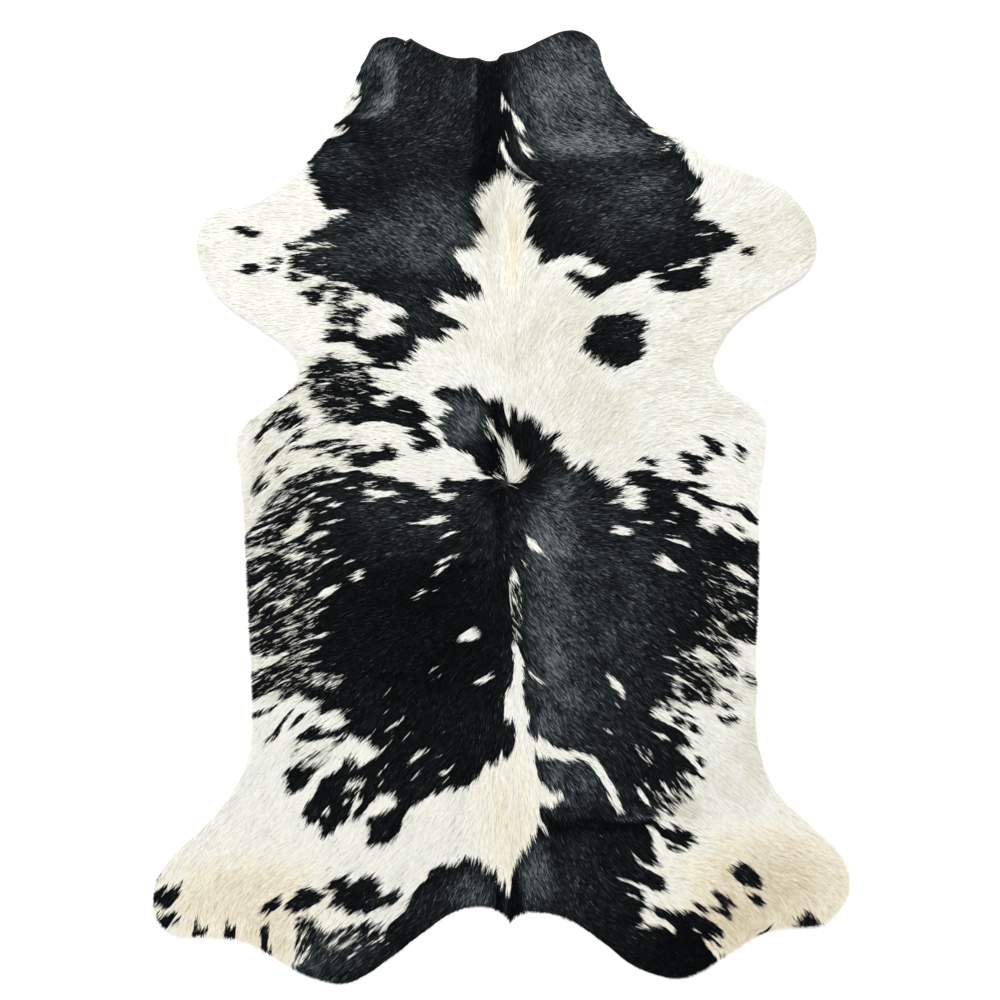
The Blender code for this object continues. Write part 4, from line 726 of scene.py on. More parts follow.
# ---- the lie of the hair ----
# Heading of the hair tips in degrees, counterclockwise from the hide's right: (across, along, heading)
hairLie = {
    "neck": [
        (0, 98, -90), (8, 98, -55), (18, 98, -45), (24, 92, -50), (10, 88, -50), (20, 86, -30), (30, 84, -30),
        (3, 82, -65), (8, 78, -30), (15, 77, -5), (30, 78, 0), (-8, 98, -125), (-20, 98, -130),
        (-27, 95, -110), (-33, 88, -130), (-10, 88, -130), (-20, 84, -160), (-3, 82, -115), (-10, 78, 180),
        (-30, 79, 180), (0, 78.5, -80), (1, 76.6, -60), (2.4, 75.2, -50), (4.2, 73.8, -40), (6.2, 72.4, -22),
        (-3, 77, -130), (-5, 73, 180)],
    "shoulders": [
        (-0.5, 71, 95), (0, 70, 90), (-3, 68, 125), (5, 68, 50), (-8, 65, 145), (9, 64, 40), (0, 60, 90),
        (-5, 57, 135), (8, 57, 45), (-15, 70, 150), (15, 70, 15), (-30, 70, 165), (30, 70, 0),
        (-20, 55, 155), (-38, 58, 175), (-45, 53, 185), (18, 52, 30), (35, 55, 10), (50, 58, 10),
        (-55, 55, 180), (-62, 55, 190), (60, 58, 25), (65, 62, 40), (44, 75, 80)],
    "withers": [
        (0, 45, 90), (5, 40, 75), (10, 38, 55), (15, 40, 35), (25, 38, 15), (-5, 45, 110), (-10, 42, 150),
        (0, 30, 90), (5, 30, 80), (10, 30, 60), (15, 22, 50), (20, 20, 45), (25, 12, 40), (30, 10, 20),
        (35, 25, 5), (45, 25, 0), (-8, 18, 130), (-5, 22, 125), (-2, 18, 115), (3, 20, 95), (7, 17, 70),
        (12, 13, 35), (18, 9, 40), (-14, 24, 170), (-13, 19, 160), (-20, 21, 165), (-35, 25, 180),
        (-48, 24, 205), (-48, 19, 217), (-53, 15, 225), (-50, 11, 225), (-53, 5, 230), (-47, 8, 210),
        (-40, 13, 195), (-30, 11, 185), (-45, 5, 205), (-38, 5, 200), (-30, 5, 185), (-20, 4, 175),
        (-12, 4, 180), (1, 10, 112), (3, 7.5, 108), (6, 7.5, 60), (4, 4.5, 12), (-2, 9, 140), (1.5, 2, -70),
        (-2.5, 4.5, 196), (7, 3, -20),
        (33, 6, 0), (42, 4, -15), (48, 0, -20), (54, -2, -45), (46, 13, -20), (52, 12, -35)],
    "left barrel": [
        (-50, -5, 207), (-50, -12, 200), (-52, -16, 215), (-45, -22, 210), (-53, -27, 210), (-45, -27, 200),
        (-40, -20, 205), (-40, -30, 200), (-30, -15, 205), (-15, -3, 183), (-12, -6, 200), (-12, -13, 215),
        (-17, -19, 205), (-7, -28, 215), (-3, -38, 220), (-25, -45, 230), (-18, -55, 225), (-12, -58, 215),
        (-50, -37, 210), (-50, -48, 230), (-40, -50, 215), (-43, -56, 220), (-45, -61, 237), (-33, -58, 235),
        (-1, -45, 265), (-3, -57, 250), (-8, -61, 240), (0, -60, 270)],
    "right barrel": [
        (4, -60, -85), (7, -60, -75), (3, 0, -75), (5, -3, -60), (8, -10, -50), (5, -20, -75), (7, -25, -50),
        (9, -38, -50), (15, -20, -35), (25, -5, -5), (37, -4, -10), (37, -12, -32), (46, -12.5, -20),
        (52, -14, -35), (54, -23, -35), (38, -27, -38), (43, -23.5, -40), (38, -34, -28), (25, -39, -48),
        (26, -44, -42), (36, -46, -32), (42, -49, -40), (40, -54, -45), (43, -59, -50), (36, -62, -55),
        (24, -62, -60), (15, -55, -30), (13, -63, -65), (37, -67, -40), (35, -70, -28), (33, -72, -55),
        (50, -36, -40), (55, -38, -15), (50, -55, -30), (60, -62, -50)],
    "haunches": [
        (0, -72, 268), (0, -84, 268), (-4, -82, 250), (-9, -86, 240), (-12, -70, 232), (-25, -70, 235),
        (-20, -78, 225), (-24, -94, 222), (-35, -78, 218), (-38, -70, 240), (-42, -84, 200), (-48, -78, 215),
        (-48, -88, 215), (-58, -82, 225), (-62, -72, 235), (-72, -86, 235), (-73, -91, 230), (-66, -93, 255),
        (-60, -93, 262), (-52, -95, 258), (-45, -96, 245), (-40, -92, 235), (-38, -100, 228), (-30, -98, 220),
        (-30, -86, 220), (-25, -86, 220), (7, -76, -70), (12, -84, -60), (20, -75, -50), (25, -90, -35),
        (30, -77, -45), (32, -82, -32), (28, -85, -30), (38, -73, -35), (38, -79, -10), (45, -76, -5),
        (53, -81, -42), (48, -87, -45), (44, -92, -35), (38, -95, -45), (46, -98, -55), (56, -87, -35),
        (62, -80, -25), (68, -72, -35), (72, -84, -30), (67, -91, -60), (58, -93, 215), (40, -100, -40)],
}
lieGrid = {"cell": 1.0, "left": -80.0, "bottom": -108.0, "columns": 160, "rows": 216, "evenOver": 5.0}
gx, gy = np.meshgrid(lieGrid["left"] + np.arange(lieGrid["columns"]) + 0.5,
                     lieGrid["bottom"] + np.arange(lieGrid["rows"]) + 0.5)
lieX, lieY, lieWeight = np.zeros_like(gx), np.zeros_like(gx), np.zeros_like(gx)
for across, along, heading in sum(hairLie.values(), []):
    # nearer headings count more, and one holds alone over a few square centimetres
    weight = 1 / ((gx - across) ** 2 + (gy - along) ** 2 + lieGrid["evenOver"]) ** 2
    lieX += weight * math.cos(math.radians(heading))
    lieY += weight * math.sin(math.radians(heading))
    lieWeight += weight
lieLength = np.hypot(lieX, lieY) + 1e-12
unrest = 1 - lieLength / lieWeight  # near 1 where headings meet, as in the whorl
lieX, lieY = lieX / lieLength, lieY / lieLength


def hairHeading(across, along):
    dx, dy = readGrid(lieX, across, along, lieGrid), readGrid(lieY, across, along, lieGrid)
    length = np.hypot(dx, dy) + 1e-9
    return dx / length, dy / length


# ---- the hide's own skin ----
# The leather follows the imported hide 3 mm below its hair, and its rim lies a little inside the hair tips.
# Faces that point up less than topFrom aren't its top, and the rim may not turn one down past foldedFrom.
leather = {"hairDepth": 0.003, "rimInset": 0.002, "thickness": 0.0024, "smoothing": 2,
           "mergeWithin": 1e-5, "topFrom": 0.35, "foldedFrom": 0.6, "blackReach": 0.6}
# where the zero of the coat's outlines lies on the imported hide, in centimetres
coatZero = {"across": 0.1, "along": 0.25}


def toAcross(x):
    return x * 100 - coatZero["across"]


def toAlong(y):
    return y * 100 - coatZero["along"]


bm = bmesh.new()
bm.from_mesh(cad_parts["hide"].data)
bmesh.ops.remove_doubles(bm, verts=bm.verts, dist=leather["mergeWithin"])
bmesh.ops.delete(bm, geom=[f for f in bm.faces if f.normal.z < leather["topFrom"]], context="FACES")
bmesh.ops.delete(bm, geom=[v for v in bm.verts if not v.link_faces], context="VERTS")
edge = next(e for e in bm.edges if e.is_boundary)
rim = list(edge.verts)
while rim[-1] != rim[0]:
    edge = next(e for e in rim[-1].link_edges if e.is_boundary and e != edge)
    rim.append(edge.other_vert(rim[-1]))
rim.pop()
rimPlace = np.array([v.co for v in rim])
hideOutline = np.stack([toAcross(rimPlace[:, 0]), toAlong(rimPlace[:, 1])], 1)
print("outline of the hide:", len(rim), "corners,", len(bm.faces), "faces on top")
ahead = np.roll(rimPlace, -1, 0)
forth = ahead - np.roll(rimPlace, 1, 0)
inward = np.stack([-forth[:, 1], forth[:, 0]], 1) / np.hypot(forth[:, 0], forth[:, 1])[:, None]
if (rimPlace[:, 0] * ahead[:, 1] - ahead[:, 0] * rimPlace[:, 1]).sum() < 0:
    inward = -inward
for v, (x, y) in zip(rim, inward * leather["rimInset"]):
    v.co.x += x
    v.co.y += y
# where that folds a small face over, it goes back by halves
for lap in range(4):
    bm.normal_update()
    for v, start in zip(rim, rimPlace):
        if min(f.normal.z for f in v.link_faces) < leather["foldedFrom"]:
            v.co.xy = (v.co.xy + Vector(start[:2])) / 2
bmesh.ops.translate(bm, verts=bm.verts, vec=(0, 0, -leather["hairDepth"]))
topMesh = bpy.data.meshes.new("leatherTop")
bm.to_mesh(topMesh)
bm.free()
topMesh.shade_smooth()


def finishedMesh(base, name):
    # the mesh as its modifiers leave it
    graph = bpy.context.evaluated_depsgraph_get()
    mesh = bpy.data.meshes.new_from_object(base.evaluated_get(graph))
    mesh.name = name
    return mesh


skin = bpy.data.objects.new("leather", topMesh)
scene.collection.objects.link(skin)
smooth = skin.modifiers.new("smooth", "SUBSURF")
smooth.levels = smooth.render_levels = leather["smoothing"]
bpy.context.view_layer.update()
topMesh = finishedMesh(skin, "leatherTop")
skinTree = BVHTree.FromPolygons([v.co.copy() for v in topMesh.vertices],
                                [p.vertices[:] for p in topMesh.polygons])

# each point of the leather knows whether black hair grows there or close by
spots = np.zeros(len(topMesh.vertices) * 3)
topMesh.vertices.foreach_get("co", spots)
spots = spots.reshape(-1, 3)
share = readGrid(widened(black, leather["blackReach"]), toAcross(spots[:, 0]), toAlong(spots[:, 1]))
coatMark = topMesh.attributes.new("blackHair", "FLOAT", "POINT")
coatMark.data.foreach_set("value", share.astype(np.float32))
skin.data = topMesh
skin.modifiers.remove(smooth)
wall = skin.modifiers.new("thickness", "SOLIDIFY")
wall.thickness = leather["thickness"]
wall.offset = -1
wall.material_offset = 1
wall.material_offset_rim = 1

# Chrome-tanned cattle leather: matt, its grain hidden by stubble of the coat's colour.
roots, surface = newMaterial("leatherWithHairRoots")
mark = addNode(roots, "ShaderNodeAttribute", {"attribute_name": "blackHair"})
rootColour = addNode(roots, "ShaderNodeMix", {"data_type": "RGBA"},
                     {6: colour("#ece7db"), 7: colour("#070708")}, {0: mark.outputs["Fac"]})
roots.node_tree.links.new(rootColour.outputs[2], surface.inputs["Base Color"])
surface.inputs["Roughness"].default_value = 0.8
# Split suede of the flesh side: soft, dull, slightly cloudy.
suede, surface = newMaterial("suedeUnderside")
place = addNode(suede, "ShaderNodeTexCoord")
cloud = addNode(suede, "ShaderNodeTexNoise", None, {"Scale": 9.0, "Detail": 5.0, "Roughness": 0.6},
                {"Vector": place.outputs["Object"]})
cloudColour = addNode(suede, "ShaderNodeValToRGB", None, None, {"Fac": cloud.outputs["Fac"]})
setRamp(cloudColour.color_ramp, [(0.3, "#a4917a"), (0.7, "#c2b29c")])
suede.node_tree.links.new(cloudColour.outputs["Color"], surface.inputs["Base Color"])
surface.inputs["Roughness"].default_value = 0.92
for material in (roots, suede):
    skin.data.materials.append(material)
print("leather:", len(topMesh.polygons), "faces on top")

# ---- the hair ----
# A lock is a few hairs that lie together. Lengths are in metres and angles in degrees, and a pair of shares
# is what a lock has from its clump and what is its own.
pile = {"locks": 415000, "area": 2.206, "length": (0.019, 0.026), "width": (0.0013, 0.0024),
        "shorter": (0.86, 0.72, 0.58, 0.46, 0.35), "overhang": 0.0025, "clearance": 0.0005,
        "lift": (3.0, 9.0), "clumpLift": 1.2, "roll": 20.0, "rollShares": (0.5, 0.6), "steepest": 0.35,
        "stray": 7.0, "strayShares": (0.7, 0.6), "curl": 8.0, "fineWhereLong": 0.5,
        "blackWidth": 1.1, "whiteWidth": 0.86, "waist": 0.36, "ridge": 0.16, "rayHeight": 0.1}

step = math.sqrt(pile["area"] / pile["locks"])
low, high = spots.min(0), spots.max(0)
rx, ry = np.meshgrid(np.arange(low[0], high[0], step), np.arange(low[1], high[1], step))
rx = rx.ravel() + chance.uniform(-0.5, 0.5, rx.size) * step
ry = ry.ravel() + chance.uniform(-0.5, 0.5, ry.size) * step
rootPlace, rootUp = [], []
down = Vector((0, 0, -1))
for x, y in zip(rx.tolist(), ry.tolist()):
    hit, normal, face, reach = skinTree.ray_cast(Vector((x, y, pile["rayHeight"])), down)
    if hit is not None:
        rootPlace.append(hit[:])
        rootUp.append(normal[:] if normal.z > 0 else (-normal)[:])
rootPlace, rootUp = np.array(rootPlace), np.array(rootUp)
# at the steepest places the hair leans no further than the steepest slope
slope = np.hypot(rootUp[:, 0], rootUp[:, 1]) / rootUp[:, 2]
rootUp[:, :2] *= np.minimum(1, pile["steepest"] / np.maximum(slope, 1e-6))[:, None]
rootUp /= np.linalg.norm(rootUp, axis=1, keepdims=True)
count = len(rootPlace)
print(count, "hair roots on the leather")

across, along = toAcross(rootPlace[:, 0]), toAlong(rootPlace[:, 1])
headX, headY = hairHeading(across, along)


def combedNoise(cell, reach, seed):
    # random values drawn out along the lie of the hair, so neighbours along a hair agree, spread about 0 by 1
    size = int(lieGrid["rows"] / cell), int(lieGrid["columns"] / cell)
    grain = np.random.default_rng(seed).standard_normal(size)
    total = np.zeros(count)
    for offset in np.linspace(-reach, reach, 9):
        total += readGrid(grain, across + headX * offset, along + headY * offset, {**lieGrid, "cell": cell})
    return total / total.std()


# cell and reach in centimetres, and a seed for each
clumpNoise = combedNoise(cell=0.3, reach=0.9, seed=5)
fineNoise = combedNoise(cell=0.2, reach=1.0, seed=6)
wideNoise = combedNoise(cell=2.2, reach=2.0, seed=7)
strandNoise = combedNoise(cell=0.22, reach=1.5, seed=8)
strokeNoise = combedNoise(cell=0.12, reach=0.22, seed=9)

# Soft patches of tone: (name, across, along, half width, half length, strength)
# Painted sheen: lighter grey laid into the black hair's colour where light catches it, and painted highlights
# along the rims of creases and folds
paintedSheen = [
    ("right neck", 14.5, 92, 14.5, 14, 0.5), ("right neck, over the crease", 20, 80, 18, 3.6, 0.34),
    ("left neck", -16, 88, 15, 16, 0.17), ("left cheek", -28.5, 93, 3.4, 5, 0.12),
    ("left cheek, top", -27, 100, 5, 3, 0.36), ("left cheek, fold", -23.9, 94.6, 1.7, 5.6, 0.4),
    ("left cheek, foot of the fold", -25.6, 89, 2.6, 2.2, 0.3),
    ("left cheek, lower fold", -28.2, 86.4, 4, 0.8, 0.3),
    ("nape, fold", -5.6, 95, 0.5, 8, 0.24), ("left throat", -34, 75, 6, 5, 0.2),
    ("left shoulder", -15, 59, 13, 11, 0.38), ("left shoulder, outer", -34, 57, 10, 8, 0.22),
    ("right shoulder", 27, 66, 15, 11, 0.24), ("right shoulder, light of the crease", 31, 71, 6, 3, 0.14),
    ("left arm", -18, 40, 10, 7, 0.14), ("withers", -8, 18, 5, 7, 0.42),
    ("right withers", 11, -2, 7, 10, 0.22), ("right barrel, beside the spine", 9, -28, 6, 28, 0.26),
    ("right barrel", 20, -24, 16, 32, 0.22), ("right barrel, rear", 13, -44, 9, 8, 0.1),
    ("right flank", 38, -12, 8, 8, 0.08), ("left barrel, upper", -18, -1, 20, 9, 0.2),
    ("left barrel, light of the crease", -16, -10.6, 16, 0.7, 0.14),
    ("right loin", 14, -60, 10, 6.5, 0.28), ("right loin, over the crease", 31, -66.2, 4, 1.5, 0.24),
    ("right loin, light of the crease", 28, -67.7, 6, 0.5, 0.36),
    ("right haunch, beside the tail", 7, -80, 4, 9, 0.36), ("right haunch", 15, -82, 9, 10, 0.14),
    ("left haunch", -6, -84, 6, 5, 0.4), ("left haunch, outer", -17, -88, 7, 5, 0.14),
    ("left ham", -36, -98, 11, 6, 0.26)]
# Painted shade: darker black in the grooves of the nape, spine and tail and under the haunch crease, and
# darker black over the whorl, the left barrel and the right ham
paintedShadeAndDarkerBlack = [
    ("nape", -1.9, 86, 3.3, 15, 0.6), ("spine", -0.7, 8, 0.9, 15, 0.5), ("whorl", 3, 5, 7, 6, 0.12),
    ("under the haunch crease", 20, -69.6, 14, 1.5, 0.3), ("right ham", 40, -98, 9, 6, 0.22),
    ("tail groove", -0.5, -86, 0.8, 4, 0.6), ("right of the tail", 3.2, -85, 1.4, 5, 0.3),
    ("left barrel", -15, -26, 20, 17, 0.14)]
creamCast = [
    ("blaze", 2.2, 56, 2, 9.5, 0.42), ("foot of the blaze", 2.2, 48, 2.6, 2.6, 0.12),
    ("rump", 2, -68, 7, 16, 0.2), ("left hind leg", -57, -87, 18, 11, 0.36),
    ("right hind leg", 58, -84, 19, 13, 0.5), ("right ham", 46, -94, 10, 6, 0.24),
    ("left ham", -49, -97, 5, 6, 0.2)]
# Painted shade: white hair made greyer along the foreleg rims, on the forelegs, blaze, chest, arm, flanks and
# thigh, and at the thigh's fringe next to black
paintedShadeOnWhite = [
    ("left foreleg rim", -66, 60, 4, 12, 0.04), ("right foreleg rim", 67, 62, 4, 10, 0.04),
    ("right foreleg", 60, 58, 13, 14, 0.08), ("blaze", 1, 58, 8, 15, 0.12),
    ("upper chest", 14, 43, 8, 7, 0.06), ("left of the chest", -7, 34, 9, 9, 0.05),
    ("withers", 4, 36, 6, 11, 0.03), ("chest", 14, 31, 16, 15, 0.07),
    ("right chest", 21, 15, 14, 12, 0.06), ("left flank", -55, 12, 4, 12, 0.04),
    ("right flank", 55, -47, 4, 10, 0.08), ("right arm", 44, 36, 12, 14, 0.08),
    ("right thigh", 50, -60, 9, 12, 0.08), ("right thigh, fringe", 39.5, -67.5, 3, 5, 0.14)]
longHair = [
    ("blaze", 0, 64, 8, 12, 0.5), ("whorl", 2, 12, 5, 9, 0.5), ("rump", 1, -68, 8, 14, 0.35),
    ("tail", 1.4, -90, 3, 5, 0.6), ("nape", 2, 80, 4, 10, 0.3)]


def softPatches(rows):
    # level in the middle and fading out over the rim
    total = np.zeros(count)
    for name, x, y, halfWidth, halfLength, strength in rows:
        total += strength * np.exp(-np.hypot((across - x) / halfWidth, (along - y) / halfLength) ** 3)
    return total


def spreadOf(shares):
    # a random value for each lock, part its clump's and part its own
    return shares[0] * clumpNoise + shares[1] * chance.standard_normal(count)


extra = softPatches(longHair)
length = chance.uniform(*pile["length"], count) * (1 + extra)
width = chance.uniform(*pile["width"], count) * (1 - pile["fineWhereLong"] * extra)
swing = np.radians(pile["stray"]) * spreadOf(pile["strayShares"])
swing *= 1 + pile["curl"] * readGrid(unrest, across, along, lieGrid) ** 2
dirX = headX * np.cos(swing) - headY * np.sin(swing)
dirY = headX * np.sin(swing) + headY * np.cos(swing)

# no lock reaches further past the hide's outline than the overhang
inHide = np.zeros_like(black)
paintPatch(inHide, hideOutline, 1.0)
for shorter in pile["shorter"]:
    tipAcross = across + dirX * (length - pile["overhang"]) * 100
    tipAlong = along + dirY * (length - pile["overhang"]) * 100
    out = readGrid(inHide, tipAcross, tipAlong) < 0.5
    length[out] = np.minimum(length[out], shorter * pile["length"][1])

# The coat's colour is read where the lock shows, a little before its tip. A white lock stands out over black
# along its whole length, so it also has to be white lower down. Both places are parts of the lock's length,
# and the border between the colours is ragged by about 6 mm.
reading = {"places": (0.36, 0.54), "placeWhereLong": 0.3, "ragged": 0.62, "clumpPart": 0.4, "finePart": 0.9,
           "raggedLimit": 1.9, "blackFrom": 0.34, "none": 0.02, "strandContrast": 0.8}
ragged = reading["clumpPart"] * clumpNoise + reading["finePart"] * fineNoise
ragged = reading["ragged"] * np.clip(ragged, -reading["raggedLimit"], reading["raggedLimit"])
isBlack = np.zeros(count, bool)
for place in reading["places"]:
    shift = length * 100 * (place + reading["placeWhereLong"] * extra) + ragged
    isBlack |= readGrid(black, across + dirX * shift, along + dirY * shift) > reading["blackFrom"]
whiteShare = readGrid(mixed, across + dirX * shift, along + dirY * shift)
inMixed = whiteShare > reading["none"]
strandRank = 0.5 * (1 + np.tanh(reading["strandContrast"] * strandNoise))
isBlack &= ~(inMixed & (strandRank < whiteShare))
width *= np.where(isBlack, pile["blackWidth"], pile["whiteWidth"])
# the sheen of black hair shows its last 15 mm only, so 3 cm and more from white hair its locks are that long
deepBlack = {"from": 3.0, "length": 0.66, "width": 0.84}
nearWhite = widened(np.maximum(1 - black, mixed > 0), deepBlack["from"])
deep = isBlack & (readGrid(nearWhite, across + dirX, along + dirY) < reading["none"])
length[deep] *= deepBlack["length"]
width[deep] *= deepBlack["width"]
print("black locks", int(isBlack.sum()), "white locks", int((~isBlack).sum()))

# Tone is a place on the hair's palette, from 0 to 1, and a lock's map keeps clear of both ends. Grey hair
# shows its strokes and deep black hides them, so a pair is the spread of all black hair and what painted
# sheen adds.
lockMap = {"least": 0.02, "most": 0.98, "width": 0.008}
blackTones = {"base": 0.25, "strokes": (0.06, 0.14), "own": (0.07, 0.1), "wide": 0.08,
              "lightHairsAndGlints": 0.014, "lightHairAndGlintTone": 0.35}
# black tone: the coat's dark base, with the painted sheen added and the painted shade taken off
blackCoatWithPaintedLight = np.clip(blackTones["base"] + softPatches(paintedSheen) - softPatches(paintedShadeAndDarkerBlack), lockMap["least"], 1)
# a few black locks turn grey: lighter hairs in part, painted glints in part
stray = chance.uniform(0, 1, count) < blackTones["lightHairsAndGlints"]
strokes, own = (always + more * blackCoatWithPaintedLight for always, more in (blackTones["strokes"], blackTones["own"]))
blackTone = (blackCoatWithPaintedLight + strokes * strokeNoise + blackTones["wide"] * wideNoise * blackCoatWithPaintedLight
             + own * chance.standard_normal(count) + blackTones["lightHairAndGlintTone"] * stray)
# the whitest hair is smooth, and white hair among black looks greyer
whiteTones = {"base": 0.34, "rough": 0.045, "roughCream": 0.3, "creamLimit": 0.2, "own": 0.8, "wide": 0.02,
              "amongBlack": 0.1}
# white tone: the coat's own cream, less the painted shade
cream, shade = softPatches(creamCast), softPatches(paintedShadeOnWhite)
# the strokes move white locks toward the palette's grey end, as painted shade between clumps of hair, and
# toward cream
rough = whiteTones["rough"] + whiteTones["roughCream"] * np.minimum(cream, whiteTones["creamLimit"])
whiteTone = (whiteTones["base"] + cream - shade + whiteTones["wide"] * wideNoise + rough * strokeNoise
             + whiteTones["own"] * rough * chance.standard_normal(count)
             - whiteTones["amongBlack"] * inMixed * np.abs(chance.standard_normal(count)))
tone = np.clip(np.where(isBlack, blackTone, whiteTone), lockMap["least"], lockMap["most"])

# each lock's own axes: across it, along it and out of it
up = rootUp
flat = np.stack([dirX, dirY, np.zeros(count)], 1)
flat -= up * (flat * up).sum(1, keepdims=True)
flat /= np.linalg.norm(flat, axis=1, keepdims=True)
lift = np.radians(chance.uniform(*pile["lift"], count) + pile["clumpLift"] * clumpNoise)[:, None]
roll = np.radians(pile["roll"] * spreadOf(pile["rollShares"]))[:, None]
lockAlong = flat * np.cos(lift) + up * np.sin(lift)
# no tip goes into the floor
lockAlong[:, 2] = np.maximum(lockAlong[:, 2], (pile["clearance"] - rootPlace[:, 2]) / length)
lockAlong /= np.linalg.norm(lockAlong, axis=1, keepdims=True)
lockOut = up - lockAlong * (up * lockAlong).sum(1, keepdims=True)
lockOut /= np.linalg.norm(lockOut, axis=1, keepdims=True)
lockAcross = np.cross(lockAlong, lockOut)
turnedAcross = lockAcross * np.cos(roll) + lockOut * np.sin(roll)
turnedOut = lockOut * np.cos(roll) - lockAcross * np.sin(roll)
lockTurn = np.stack([
    np.arctan2(lockAlong[:, 2], turnedOut[:, 2]),
    np.arcsin(np.clip(-turnedAcross[:, 2], -1, 1)),
    np.arctan2(turnedAcross[:, 1], turnedAcross[:, 0])], 1)
lockSize = np.stack([width, length, width], 1)

# Cattle guard hair: smooth keratin, glossy along its length. Colour runs over the palette by the lock's tone
# and darkens to the root, where hairs shade each other.
finishes = {
    "black": {"material": "blackCattleHair", "roughness": 0.45, "specular": 0.03,
              "palette": [(0.0, "#030506"), (0.2, "#080b0d"), (0.4, "#171b1d"), (0.6, "#2f3638"),
                          (0.8, "#5b6366"), (1.0, "#8f979a")],
              "shade": [(0.0, "#5c5c5c"), (0.4, "#c8c8c8"), (0.8, "#ffffff")]},
    "white": {"material": "whiteCattleHair", "roughness": 0.5, "specular": 0.4,
              "palette": [(0.0, "#8a8a88"), (0.1, "#d0cfc0"), (0.2, "#e2e1d0"), (0.34, "#f3f4f2"),
                          (0.5, "#f8f4e2"), (0.64, "#f3ebd5"), (0.8, "#e6ddc6"), (1.0, "#cdbf9a")],
              "shade": [(0.0, "#b2b1ad"), (0.3, "#eae9e6"), (0.6, "#ffffff")]},
}


def hairMaterial(finish):
    material, surface = newMaterial(finish["material"])
    place = addNode(material, "ShaderNodeUVMap", {"uv_map": "OFBake"})
    parts = addNode(material, "ShaderNodeSeparateXYZ", None, None, {"Vector": place.outputs["UV"]})
    palette = addNode(material, "ShaderNodeValToRGB", None, None, {"Fac": parts.outputs["X"]})
    setRamp(palette.color_ramp, finish["palette"])
    shade = addNode(material, "ShaderNodeValToRGB", None, None, {"Fac": parts.outputs["Y"]})
    setRamp(shade.color_ramp, finish["shade"])
    both = addNode(material, "ShaderNodeMix", {"data_type": "RGBA", "blend_type": "MULTIPLY"}, {0: 1.0},
                   {6: palette.outputs["Color"], 7: shade.outputs["Color"]})
    material.node_tree.links.new(both.outputs[2], surface.inputs["Base Color"])
    surface.inputs["Roughness"].default_value = finish["roughness"]
    surface.inputs["Specular IOR Level"].default_value = finish["specular"]
    return material


def lockShape(material):
    # a flat kite from root to tip, folded a little along its middle, one unit long and wide
    bm = bmesh.new()
    bmesh.ops.create_circle(bm, segments=4, radius=0.5, cap_ends=True)
    left, *middle, right = sorted(bm.verts, key=lambda v: v.co.x)
    back, front = sorted(middle, key=lambda v: v.co.y)
    back.co, front.co = (0, 0, 0), (0, 1, 0)
    left.co, right.co = (-0.5, pile["waist"], -pile["ridge"]), (0.5, pile["waist"], -pile["ridge"])
    bmesh.ops.connect_verts(bm, verts=[back, front])
    bmesh.ops.recalc_face_normals(bm, faces=bm.faces)
    if bm.faces[:][0].normal.z < 0:  # the folded side faces up
        bmesh.ops.reverse_faces(bm, faces=bm.faces)
    mesh = bpy.data.meshes.new("lock")
    bm.to_mesh(mesh)
    bm.free()
    mesh.materials.append(material)
    mesh.shade_smooth()
    return bpy.data.objects.new("lock", mesh)


def scatterTree(lock):
    # puts the lock on every root, turned and sized by the root's own values
    tree = bpy.data.node_groups.new("scatter locks", "GeometryNodeTree")
    tree.interface.new_socket("Geometry", in_out="INPUT", socket_type="NodeSocketGeometry")
    tree.interface.new_socket("Geometry", in_out="OUTPUT", socket_type="NodeSocketGeometry")
    start, end = tree.nodes.new("NodeGroupInput"), tree.nodes.new("NodeGroupOutput")
    shape = tree.nodes.new("GeometryNodeObjectInfo")
    shape.inputs["Object"].default_value = lock
    turn, size = (tree.nodes.new("GeometryNodeInputNamedAttribute") for i in range(2))
    for node, name in ((turn, "turn"), (size, "size")):
        node.data_type = "FLOAT_VECTOR"
        node.inputs["Name"].default_value = name
    angles = tree.nodes.new("FunctionNodeEulerToRotation")
    spread = tree.nodes.new("GeometryNodeInstanceOnPoints")
    real = tree.nodes.new("GeometryNodeRealizeInstances")
    for output, socket in ((start.outputs["Geometry"], spread.inputs["Points"]),
                           (shape.outputs["Geometry"], spread.inputs["Instance"]),
                           (turn.outputs["Attribute"], angles.inputs[0]),
                           (angles.outputs[0], spread.inputs["Rotation"]),
                           (size.outputs["Attribute"], spread.inputs["Scale"]),
                           (spread.outputs["Instances"], real.inputs["Geometry"]),
                           (real.outputs["Geometry"], end.inputs["Geometry"])):
        tree.links.new(output, socket)
    return tree


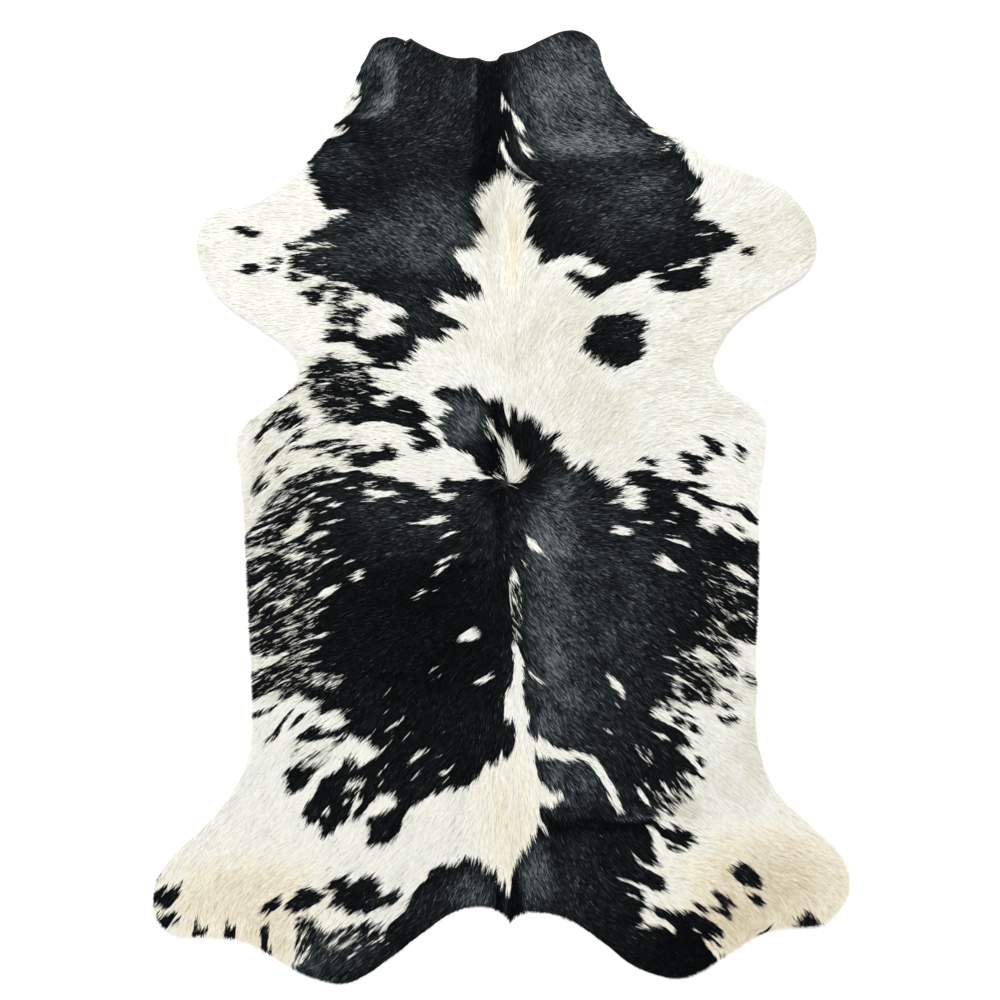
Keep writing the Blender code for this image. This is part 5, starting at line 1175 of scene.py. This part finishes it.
def growHair(name, chosen, lock, tree):
    # one piece of the pile: the roots whose numbers are chosen
    bm = bmesh.new()
    for place in rootPlace[chosen].tolist():
        bm.verts.new(place)
    rootsMesh = bpy.data.meshes.new(name + "Roots")
    bm.to_mesh(rootsMesh)
    bm.free()
    for field, values in (("turn", lockTurn), ("size", lockSize)):
        mark = rootsMesh.attributes.new(field, "FLOAT_VECTOR", "POINT")
        mark.data.foreach_set("vector", values[chosen].astype(np.float32).ravel())
    base = bpy.data.objects.new(name + "Roots", rootsMesh)
    scene.collection.objects.link(base)
    scatter = base.modifiers.new("scatter", "NODES")
    scatter.node_group = tree
    bpy.context.view_layer.update()
    mesh = finishedMesh(base, name)
    bpy.data.objects.remove(base)
    bpy.data.meshes.remove(rootsMesh)
    for field in ("turn", "size"):
        if field in mesh.attributes:
            mesh.attributes.remove(mesh.attributes[field])
    # across the map goes the tone, with a little for the lock's two sides, and up it the place along the lock
    corners = np.zeros(len(mesh.loops), np.int32)
    mesh.loops.foreach_get("vertex_index", corners)
    shape = np.array([v.co for v in lock.data.vertices])
    which, own = divmod(corners, len(shape))
    mapX = tone[chosen][which] + shape[own, 0] * lockMap["width"]
    mapY = lockMap["least"] + (lockMap["most"] - lockMap["least"]) * shape[own, 1]
    layer = mesh.uv_layers.new(name="OFBake")
    layer.uv.foreach_set("vector", np.stack([mapX, mapY], 1).astype(np.float32).ravel())
    piece = bpy.data.objects.new(name, mesh)
    scene.collection.objects.link(piece)
    print(name, len(chosen), "locks,", len(mesh.polygons), "faces")
    return piece


hairPieces = []
for kind, wanted, parts in (("black", isBlack, 3), ("white", ~isBlack, 2)):
    lock = lockShape(hairMaterial(finishes[kind]))
    tree = scatterTree(lock)
    # from the neck to the hind legs, in pieces of much the same number of locks
    ordered = np.flatnonzero(wanted)[np.argsort(-along[wanted], kind="stable")]
    for part, chosen in enumerate(np.array_split(ordered, parts)):
        hairPieces.append(growHair(f"{kind}Hair{part + 1}", chosen, lock, tree))
    bpy.data.node_groups.remove(tree)
    bpy.data.objects.remove(lock)

# ---- hand over ----
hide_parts("hide")
for piece in [skin, *hairPieces]:
    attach(piece, "root")
